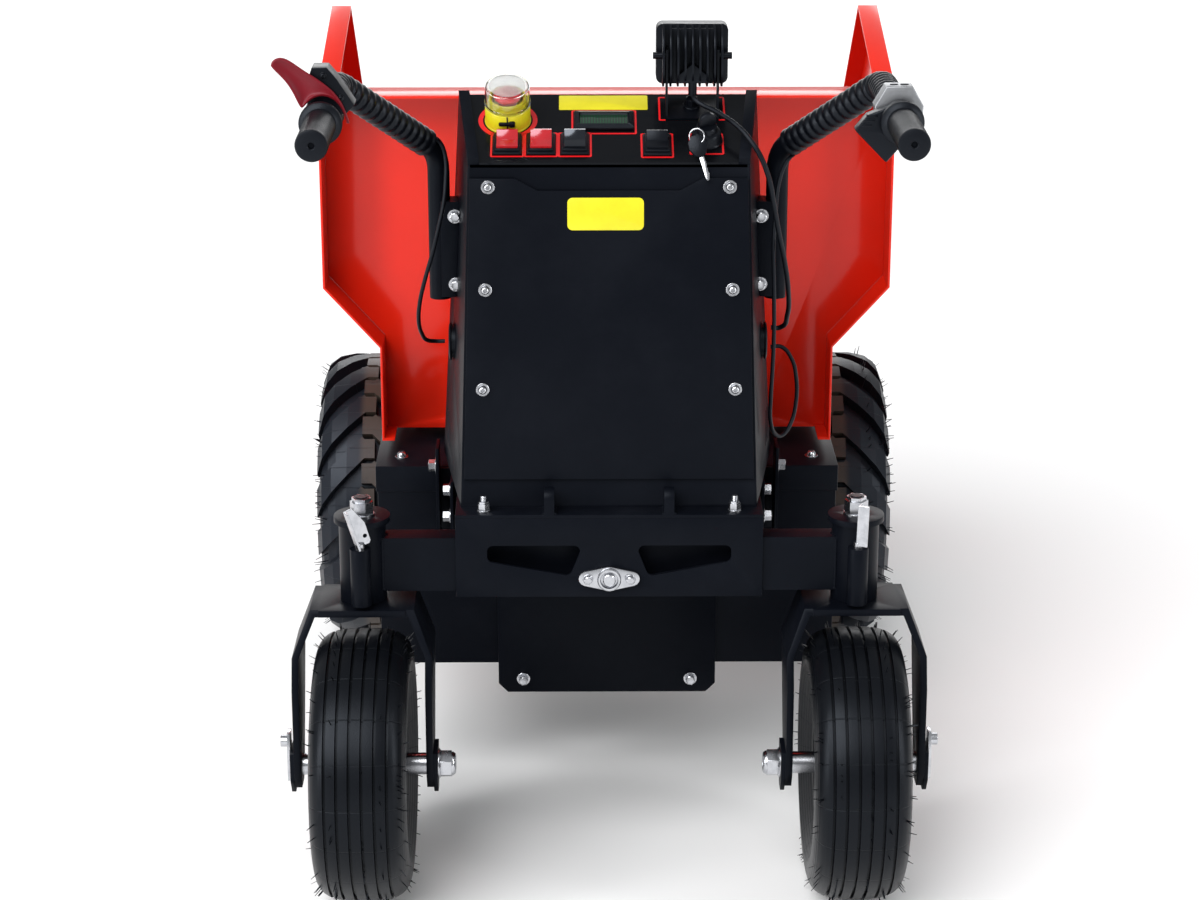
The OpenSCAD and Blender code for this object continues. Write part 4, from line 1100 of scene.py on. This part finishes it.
SLEEVE_R, RIDGE_H, SLEEVE_STEP = 15.1, 1.9, 1.25
GRIP_START = ((0, 9), (3, 9), (3.4, 1), (4.2, 0.2), (14.6, 0), (16.3, 0.8), (17, 2.6))
GRIP_STOP = ((17.2, 104), (20, 106.4), (22.6, 107.4), (23, 108.6), (23, 113.6), (22, 115), (13.2, 115))


def sleeve(side, pitch):
    """A corrugated sleeve from above the bar's knee, round its elbow and up to the grip."""
    mirror = Matrix.Diagonal((side, 1, 1))
    start = KNEE + 28 * (ELBOW - KNEE).normalized()
    corners = [mirror @ corner for corner in (start, ELBOW, Vector((GRIP_X, -83, GRIP_Z)))]
    path = rounded_path(corners, 42, SLEEVE_STEP)
    radii = []
    for i in range(len(path)):
        wave = 0.5 + 0.5 * math.cos(math.tau * i * SLEEVE_STEP / pitch)
        radii.append((SLEEVE_R + RIDGE_H * wave**0.7) * MM)
    return rope([spot(*point) for point in path], radii, 6)


def grip():
    """A ribbed grip with a collar, turned about Z."""
    ribs = []
    for k in range(24):
        ribs += [(17, 6 + 4 * k), (16.7, 7 + 4 * k), (16.7, 8 + 4 * k), (17, 9 + 4 * k)]
    return turned([*GRIP_START, *ribs, *GRIP_STOP], 48)


class DUMPER_OT_handlebars(bpy.types.Operator):
    """Tubes, corrugated sleeves and grips of the handlebars"""

    bl_idname = "dumper.handlebars"
    bl_label = "Handlebars"

    def execute(self, context):
        pitch = context.scene.dumper_sizes.ridge / MM
        tubes = softened("handlebars", 0)
        settle(tubes, "handlebar_tubes", "black_powder", stands_for="handlebars", angle=50)
        sleeves = [sleeve(s, pitch) for s in SIDES]
        settle(joined(*sleeves), "ridged_sleeves", "black_plastic", stands_for="bar_sleeves", angle=60)
        ends = [facing(spot(s * GRIP_X, GRIP_END, GRIP_Z), (0, 1, 0)) for s in SIDES]
        settle(repeated(grip(), ends), "ribbed_grips", "soft_rubber", stands_for="grips")
        return {"FINISHED"}


# The thumb lever's upper and lower edges from its tip to its foot, about the grip's axis, and its hollow
LEVER = (
    ((-51, 60), (-52, 58), 0), ((-46, 66), (-49, 53.5), 2), ((-37, 66), (-43, 47.5), 4),
    ((-28, 60), (-37, 41), 5.5), ((-19, 53.5), (-31, 32), 6), ((-11, 48.5), (-26, 21), 6),
    ((-4, 44), (-21, 9), 5), ((2, 39.5), (-17, 19), 3.5), ((8, 34.5), (-8, 25), 2.5),
    ((14, 28.5), (2, 27), 1.5), ((20, 20), (12, 24), 0.8), ((24.5, 10.5), (20.5, 16), 0.4),
    ((28, 0), (25, 2), 0), ((29, -4), (26, -4), 0),
)


def thumb_lever():
    """The broad thumb lever: a hollowed sheet between two edges, thickened and smoothed."""
    across = 6
    points = []
    for upper, lower, hollow in LEVER:
        for k in range(across + 1):
            share = k / across
            x, z = Vector(upper).lerp(Vector(lower), share)
            points.append(spot(-GRIP_X + x, -130 + hollow * 4 * share * (1 - share), GRIP_Z + z))
    row = across + 1
    faces = [
        (i * row + k, i * row + k + 1, (i + 1) * row + k + 1, (i + 1) * row + k)
        for i in range(len(LEVER) - 1) for k in range(across)
    ]
    obj = focus(from_mesh("lever", points, [], faces))
    skin = obj.modifiers.new("skin", "SOLIDIFY")
    skin.thickness, skin.offset = 3.2 * MM, 0
    smooth = obj.modifiers.new("smooth", "SUBSURF")
    smooth.levels = smooth.render_levels = 2
    for modifier in (skin, smooth):
        bpy.ops.object.modifier_apply(modifier=modifier.name)
    open_edit(obj)
    close_solid()
    return obj


# Finish, slot and rounding of each clamp and housing on the handlebars, in millimetres
CASTINGS = {
    "lever_clamp": ("black_plastic", "black_plastic", 2.5),
    "throttle_clamp": ("cast_alloy", "zinc", 3.0),
    "throttle_housing": ("black_plastic", "black_plastic", 2.0),
}
RIB_Y = -132 - REAR_AXLE
GROMMET = ((5, -12), (19.8, -12), (19.8, 0), (22.5, 0.6), (22.8, 2), (21, 3.4), (8, 3.8), (5, 3), (5, -12))


class DUMPER_OT_hand_controls(bpy.types.Operator):
    """Brake lever with its clamp, throttle ring with its housing, and the cable grommets"""

    bl_idname = "dumper.hand_controls"
    bl_label = "Hand controls"

    def execute(self, context):
        settle(thumb_lever(), "thumb_lever", "lever_red", stands_for="brake_lever", angle=60)
        for node, (finish, slot, edge) in CASTINGS.items():
            settle(softened(node, edge * MM, segments=3), node + "_casting", finish, stands_for=node)
        ribs = [
            block((x, RIB_Y - 9.6, z), (x + 12, RIB_Y, z + 2.6), 0.8)
            for x, z in ((262, 958), (265, 963), (268, 968))
        ]
        settle(joined(*ribs), "throttle_ribs", "black_plastic")
        screws = [facing(spot(-GRIP_X + x, -123, GRIP_Z + z), REARWARDS) for x, z in ((20, 22), (2, 46))]
        settle(repeated(dome_screw(6.4, 7), screws), "lever_clamp_screws", "black_plastic")
        wells = [Matrix.Translation(spot(GRIP_X + x, -111, GRIP_Z + 33.0)) for x in (-6, 5)]
        oval = plate(rounded_outline(9, 5, 2.4), 0, 0.8, 0.3)
        settle(repeated(oval, wells), "throttle_screw_wells", "black_plastic")
        sides = [facing(spot(s * 187.5, 200, 625), (s, 0, 0)) for s in SIDES]
        settle(repeated(turned(GROMMET), sides), "cable_grommets", "soft_rubber", stands_for="grommets")
        return {"FINISHED"}


def bead_path(points, width, step=1.6):
    """A weld bead's ripple along a line of the drawing."""
    path = [points[0]]
    for a, b in zip(points, points[1:]):
        count = max(2, int((b - a).length / step))
        path += [a.lerp(b, (k + 1) / count) for k in range(count)]
    radii = [width * (0.43 + 0.05 * math.cos(2.1 * i)) for i in range(len(path))]
    return rope([spot(*p) for p in path], radii, 2)


class DUMPER_OT_welds(bpy.types.Operator):
    """Weld beads at the head tubes, deck lugs and brackets"""

    bl_idname = "dumper.welds"
    bl_label = "Welds"

    def execute(self, context):
        width = context.scene.dumper_sizes.bead
        lines = []
        for s in SIDES:
            lines.append([(s * 266, 39, 368), (s * 266, 39, 430)])
            lines.append([(s * 266, 67, 368), (s * 266, 67, 430)])
            lines.append([(s * 266, 41, 431), (s * 262, 53, 431.5), (s * 266, 65, 431)])
            for x in (64, 76):
                lines.append([(s * x, 34, 462), (s * x, 58, 462)])
            lines.append([(s * 180, 285, 358), (s * 180, 285, 430)])
            lines.append([(s * 293, 14, 367), (s * 287, 25, 367), (s * 279, 27, 367)])
        beads = [bead_path([Vector(p) for p in line], width) for line in lines]
        settle(joined(*beads), "weld_beads", "black_powder", angle=60)
        return {"FINISHED"}


CASTER_W, CASTER_R, CASTER_SEAT = 112, 161, 76
# Foot and tip of each row of hairs: across the tyre and out from its axle, in millimetres
DRIVE_HAIRS = (
    (60, 180, 80, 194), (-60, 180, -80, 194), (64, 172, 81, 180), (-64, 172, -81, 180), (40, 190, 46, 216),
)
CASTER_HAIRS = (
    (50, 136, 62, 142), (-50, 136, -62, 142), (46, 146, 56, 158), (-46, 146, -56, 158), (28, 158, 30, 169),
    (-28, 158, -30, 169), (7, 159, 7, 170),
)
HAIR_FOOT, HAIR_TIP, FLOOR_GAP = 0.0011, 0.0005, 0.001
VALVE = ((0, 0), (4, 0), (4, 3), (2.8, 4), (2.6, 24), (3.4, 25), (3.4, 33), (2.6, 34), (0, 34))


def crown(x):
    """The caster tyre's radius at a place across it, in millimetres."""
    low = CASTER_SEAT + 11
    middle = low + (CASTER_R - low) * 0.42
    share = min(1.0, abs(x) / (CASTER_W / 2))
    return middle + (CASTER_R - middle) * (1 - share ** (2 / 0.62)) ** 0.31


def caster_tyre():
    """A ribbed tyre turned about Z: six deep grooves between smooth ribs."""
    cuts = [((i - 2.5) * 14.3, 1.5, 5.5) for i in range(6)]
    stations = sorted(CASTER_W / 2 * math.sin(math.radians(a)) ** 3 for a in range(-90, 91, 6))
    stations += [CASTER_W / 2 * math.sin(math.radians(a)) for a in range(-90, 91, 4)]
    stations = [x for x in stations if all(abs(x - at) > half + 0.6 for at, half, _ in cuts)]
    profile = [(crown(x), x) for x in stations]
    for at, half, deep in cuts:
        foot = crown(at) - deep
        profile += [(crown(at - half - 0.3), at - half - 0.3), (foot, at - half), (foot, at + half),
                    (crown(at + half + 0.3), at + half + 0.3)]
    profile.sort(key=lambda point: point[1])
    bead, low = CASTER_W / 2 - 17, CASTER_SEAT + 11
    ends = [(CASTER_SEAT, -bead), (low, -bead)], [(low, bead), (CASTER_SEAT, bead), (CASTER_SEAT, -bead)]
    return turned(ends[0] + profile + ends[1], 112)


def caster_rim():
    """A pressed rim with its hub, turned about Z."""
    half = [(10.4, 40), (22, 40), (22, 9), (27, 4), (71, 4), (71, 42), (86.5, 42), (86.5, 39.1), (75.9, 39.1)]
    near = [(radius, -height) for radius, height in half]
    return turned(near + half[::-1] + near[:1], 64)


def hairs(axle, rows, longest, count, seed):
    """Thin rubber hairs that stand on a tyre's tread, left by its mould."""
    draw = random.Random(seed)
    points, faces = [], []
    for _ in range(count):
        angle, (x0, r0, x1, r1) = draw.uniform(0, math.tau), draw.choice(rows)
        out = Vector((0, math.cos(angle), math.sin(angle)))
        along = Vector((0, -math.sin(angle), math.cos(angle)))
        foot = axle + (out * r0 + Vector((x0, 0, 0))) * MM
        lean = along * draw.uniform(-0.35, 0.35)
        way = ((out * (r1 - r0) + Vector((x1 - x0, 0, 0))).normalized() + lean).normalized()
        tip = foot + way * (math.hypot(x1 - x0, r1 - r0) * MM - longest * draw.uniform(0, 0.6))
        if tip.z < FLOOR_GAP:
            continue
        first = len(points)
        for end, thick in ((foot, HAIR_FOOT), (tip, HAIR_TIP)):
            for k in range(3):
                turn = math.tau * k / 3
                points.append(end + (along * math.cos(turn) + out.cross(along) * math.sin(turn)) * thick)
        faces += [(first, first + 2, first + 1), (first + 3, first + 4, first + 5)]
        faces += [(first + k, first + (k + 1) % 3, first + 3 + (k + 1) % 3, first + 3 + k) for k in range(3)]
    return from_mesh("hairs", points, [], faces)


class DUMPER_OT_tyres(bpy.types.Operator):
    """Hairs on all tyres, the casters' tyres, rims and spacers, and the drive wheels' bolts and valves"""

    bl_idname = "dumper.tyres"
    bl_label = "Tyres"

    def execute(self, context):
        sizes = context.scene.dumper_sizes
        for s in SIDES:
            side = SIDE_NAMES[s]
            fork, driven, rolling = f"caster_{side}", f"drive_wheel_{side}", f"caster_wheel_{side}"
            axle = spot(s * DRIVE_X, DRIVE_Y, DRIVE_Z)
            drive = hairs(axle, DRIVE_HAIRS, sizes.hair, sizes.hairs, 11 + s)
            settle(drive, f"drive_hairs_{side}", "tyre_rubber", body=driven)
            axle = spot(s * CASTER_X, CASTER_Y, CASTER_Z)
            caster = hairs(axle, CASTER_HAIRS, sizes.hair * 0.6, sizes.hairs, 21 + s)
            settle(caster, f"caster_hairs_{side}", "caster_rubber", rolling)
            wheel = facing(axle, (1, 0, 0))
            settle(set_place(caster_tyre(), wheel), f"caster_tread_{side}", "caster_rubber",
                   rolling, f"caster_tyre_{side}", angle=45)
            settle(set_place(caster_rim(), wheel), f"caster_hub_{side}", "rim_black", rolling,
                   f"caster_rim_{side}")
            spacer = turned([(10.2, 40.3), (13, 40.3), (13, 73.8), (10.2, 73.8), (10.2, 40.3)], 32)
            pair = [wheel, wheel @ Matrix.Diagonal((1, 1, -1, 1))]
            settle(repeated(spacer, pair), f"axle_spacers_{side}", "zinc", body=fork)
            bolts = []
            for k in range(5):
                angle = math.tau * k / 5 + 0.3
                at = spot(s * (DRIVE_X + 13), DRIVE_Y + 58 * math.cos(angle), DRIVE_Z + 58 * math.sin(angle))
                bolts.append(facing(at, (s, 0, 0), angle))
            settle(repeated(hex_bolt(17, 24), bolts), f"wheel_bolts_{side}", "zinc", body=driven)
            stem = facing(spot(s * (DRIVE_X + 10), DRIVE_Y, DRIVE_Z + 88), (s, 0, -0.25))
            settle(set_place(turned(VALVE, 20), stem), f"valve_{side}", "soft_rubber", body=driven)
        return {"FINISHED"}


def beam_pivot():
    """The oval flange, boss and pin of the rear beam's pivot."""
    outline = []
    for x, radius, first, last in ((27, 9, -74, 74), (0, 15, 76, 104), (-27, 9, 106, 254), (0, 15, 256, 284)):
        for k in range(7):
            angle = math.radians(first + (last - first) * k / 6)
            outline.append((x + radius * math.cos(angle), radius * math.sin(angle)))
    flange = plate(outline, 0, 5, 0.8)
    boss = turned([(0, 4), (14, 4), (14, 8.5), (12.8, 10), (10.6, 10), (10, 9), (10, 6), (0, 6)], 40)
    pin = turned([(0, 11.5), (6.4, 11.5), (7.4, 10.5), (7.4, -52), (0, -52)], 32)
    return set_place(joined(flange, boss, pin), facing(spot(0, 33, 384), REARWARDS))


LEAF = ((0, 0), (16, 0), (18.5, 3), (18.5, 27), (9.5, 49), (0, 49))
# Each lock handle's turn about its pin and its lean, by side
LEAF_TURNS = {-1: (24, -17), 1: (66, 5)}


def lock_handles():
    """Folded handle leaves with a hole, on the pins that lock the swivels."""
    made = []
    for s in SIDES:
        face = plate(LEAF, -1.3, 1.3, 0.4)
        hole = turned([(0, -4), (2.6, -4), (2.6, 4), (0, 4)], 20)
        hollow_out(face, set_place(hole, Matrix.Translation((13.5 * MM, 11 * MM, 0))))
        fold = block((-1.3, 0, -1.3), (1.3, 49, 12), 0.5)
        leaf = set_place(joined(face, fold), rotation(90, "X"))
        turn, lean = LEAF_TURNS[s]
        placing = Matrix.Translation(spot(s * CASTER_X, LOCK_Y, 430)) @ rotation(turn, "Z")
        set_place(leaf, placing @ rotation(lean, "Y") @ Matrix.Translation((-4 * MM, 0, 0)))
        pin = turned([(0, 0), (5.9, 0), (5.9, 74), (4.9, 75), (0, 75)], 24)
        made += [leaf, set_place(pin, Matrix.Translation(spot(s * CASTER_X, LOCK_Y, 360)))]
    return joined(*made)


SWIVEL_BOLT = ((0, 336), (16, 336), (16, 343), (10, 344), (10, 457), (0, 457))
NUT_COLLAR = ((0, 479), (6.4, 479), (7.2, 478.2), (9.4, 478.2), (9.8, 477.6), (9.8, 475), (7, 475))
NUT_CROWN = ((9, -1), (14.4, -1), (14, 1.6), (12.2, 4.2), (10.6, 4.8), (9, 4.4), (9, -1))
NUT_FLANGE = ((9, -15.8), (18, -15.8), (18, -14.6), (15.6, -12.6), (9, -12.6), (9, -15.8))


class DUMPER_OT_bright_parts(bpy.types.Operator):
    """Zinc-plated pivot, lock handles, swivel bolts and the casters' axles with their nuts"""

    bl_idname = "dumper.bright_parts"
    bl_label = "Bright parts"

    def execute(self, context):
        cut = context.scene.dumper_sizes.cut
        settle(beam_pivot(), "beam_pivot_flange", "zinc", stands_for="beam_pivot")
        settle(lock_handles(), "lock_handles", "zinc", stands_for="lock_pins", angle=18)
        for s in SIDES:
            side = SIDE_NAMES[s]
            fork, axle, bolt = f"caster_{side}", f"caster_axle_{side}", f"swivel_bolt_{side}"
            swivel = Matrix.Translation(spot(s * CASTER_X, SWIVEL_Y, 0))
            shank = set_place(turned(SWIVEL_BOLT, 36), swivel)
            nut = set_place(lock_nut(24, 15, 5), facing(spot(s * CASTER_X, SWIVEL_Y, 456.4), UPWARDS, 0.4))
            collar = set_place(turned(NUT_COLLAR, 32), swivel)
            settle(collar, f"swivel_nut_collar_{side}", "black_plastic", body=fork)
            settle(joined(shank, nut), f"{bolt}_bright", "zinc", fork, bolt)
            settle(softened(axle, cut), f"{axle}_bright", "zinc", fork, axle)
            low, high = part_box(axle)
            face = (high if s < 0 else low).x + s * 4 * MM
            end = facing(Vector((face, (CASTER_Y - REAR_AXLE) * MM, CASTER_Z * MM)), (-s, 0, 0))
            crowned = joined(turned(NUT_CROWN, 36), turned(NUT_FLANGE, 36))
            settle(set_place(crowned, end), f"axle_nut_crown_{side}", "zinc", body=fork)
        return {"FINISHED"}


SUN_FROM = (-1.8, -3.0, 3.6)


def soft_box(name, at, aim, width, height, power):
    clear_selection()
    bpy.ops.object.light_add(type="AREA", location=at)
    obj = bpy.context.object
    obj.name = name
    obj.data.shape = "RECTANGLE"
    obj.data.size, obj.data.size_y = width, height
    obj.data.energy = power
    obj.visible_camera = False
    obj.rotation_euler = (Vector(aim) - Vector(at)).to_track_quat("-Z", "Y").to_euler()


class DUMPER_OT_stage(bpy.types.Operator):
    """Floor, even sky, a broad sun, soft boxes and the camera"""

    bl_idname = "dumper.stage"
    bl_label = "Stage"

    def execute(self, context):
        scene = context.scene
        studio = scene.dumper_studio
        colours = scene.dumper_colours
        scene.view_settings.view_transform = "Standard"
        clear_selection()
        bpy.ops.mesh.primitive_plane_add(size=60, location=(0, 8, 0))
        floor = context.object
        floor.name = "studio_floor"
        paint = Finish("studio_floor")
        haze = paint.noise(0.7, 2.0)
        paint.surface(
            Base_Color=paint.blend(haze, colours.floor, tuple(c * 0.985 for c in colours.floor)),
            Roughness=0.7 + 0.1 * haze,
            Specular_IOR_Level=0.15,
        )
        floor.data.materials.append(FINISHES["studio_floor"])

        world = bpy.data.worlds.new("studio_sky")
        world.use_nodes = True
        sky = world.node_tree.nodes["Background"]
        sky.inputs["Color"].default_value = (0.97, 0.985, 1.0, 1)
        sky.inputs["Strength"].default_value = studio.sky
        scene.world = world

        bpy.ops.object.light_add(type="SUN", location=SUN_FROM)
        sun = context.object
        sun.name = "broad_sun"
        sun.rotation_euler = Vector(SUN_FROM).to_track_quat("Z", "Y").to_euler()
        sun.data.energy = studio.sun
        sun.data.angle = math.radians(45)
        soft_box("soft_box_left", (-2.5, -1.7, 1.5), (0, -0.2, 0.6), 0.5, 2.2, 1.2 * studio.panel)
        soft_box("soft_box_right", (2.5, -1.5, 1.5), (0, -0.2, 0.6), 0.5, 2.2, 0.8 * studio.panel)
        soft_box("soft_box_far", (0, 10.0, 4.0), (0, 0, 0.6), 9.0, 3.4, 9 * studio.panel)

        bpy.ops.object.camera_add(location=studio.eye, rotation=(studio.pitch, 0, studio.yaw))
        camera = context.object
        camera.name = "studio_camera"
        camera.data.lens = studio.lens
        camera.data.sensor_width = 36.0
        camera.data.clip_end = 200.0
        scene.camera = camera
        return {"FINISHED"}


class DUMPER_PT_looks(bpy.types.Panel):
    """Lists the dumper's pieces in the sidebar"""

    bl_idname = "DUMPER_PT_looks"
    bl_label = "Mini dumper"
    bl_space_type = "VIEW_3D"
    bl_region_type = "UI"
    bl_category = "Dumper"

    def draw(self, context):
        for group in ("dumper_colours", "dumper_sizes", "dumper_studio"):
            settings = getattr(context.scene, group)
            for name in settings.__annotations__:
                self.layout.prop(settings, name)
        for operator in STEPS:
            self.layout.operator(operator.bl_idname)


GROUPS = {"dumper_colours": DumperColours, "dumper_sizes": DumperSizes, "dumper_studio": DumperStudio}
STEPS = (
    DUMPER_OT_stage, DUMPER_OT_finishes, DUMPER_OT_cables, DUMPER_OT_sheet_metal, DUMPER_OT_bright_parts,
    DUMPER_OT_fasteners, DUMPER_OT_welds, DUMPER_OT_labels, DUMPER_OT_stop_switch, DUMPER_OT_rockers,
    DUMPER_OT_gauge, DUMPER_OT_key, DUMPER_OT_lamp, DUMPER_OT_handlebars, DUMPER_OT_hand_controls,
    DUMPER_OT_tyres,
)


def register():
    for name, group in GROUPS.items():
        bpy.utils.register_class(group)
        setattr(bpy.types.Scene, name, PointerProperty(type=group))
    for operator in STEPS:
        bpy.utils.register_class(operator)
    bpy.utils.register_class(DUMPER_PT_looks)


def unregister():
    bpy.utils.unregister_class(DUMPER_PT_looks)
    for operator in reversed(STEPS):
        bpy.utils.unregister_class(operator)
    for name, group in GROUPS.items():
        delattr(bpy.types.Scene, name)
        bpy.utils.unregister_class(group)


def main():
    register()
    for operator in STEPS:
        family, name = operator.bl_idname.split(".")
        getattr(getattr(bpy.ops, family), name)()
    clear_selection()


if __name__ == "__main__":
    main()
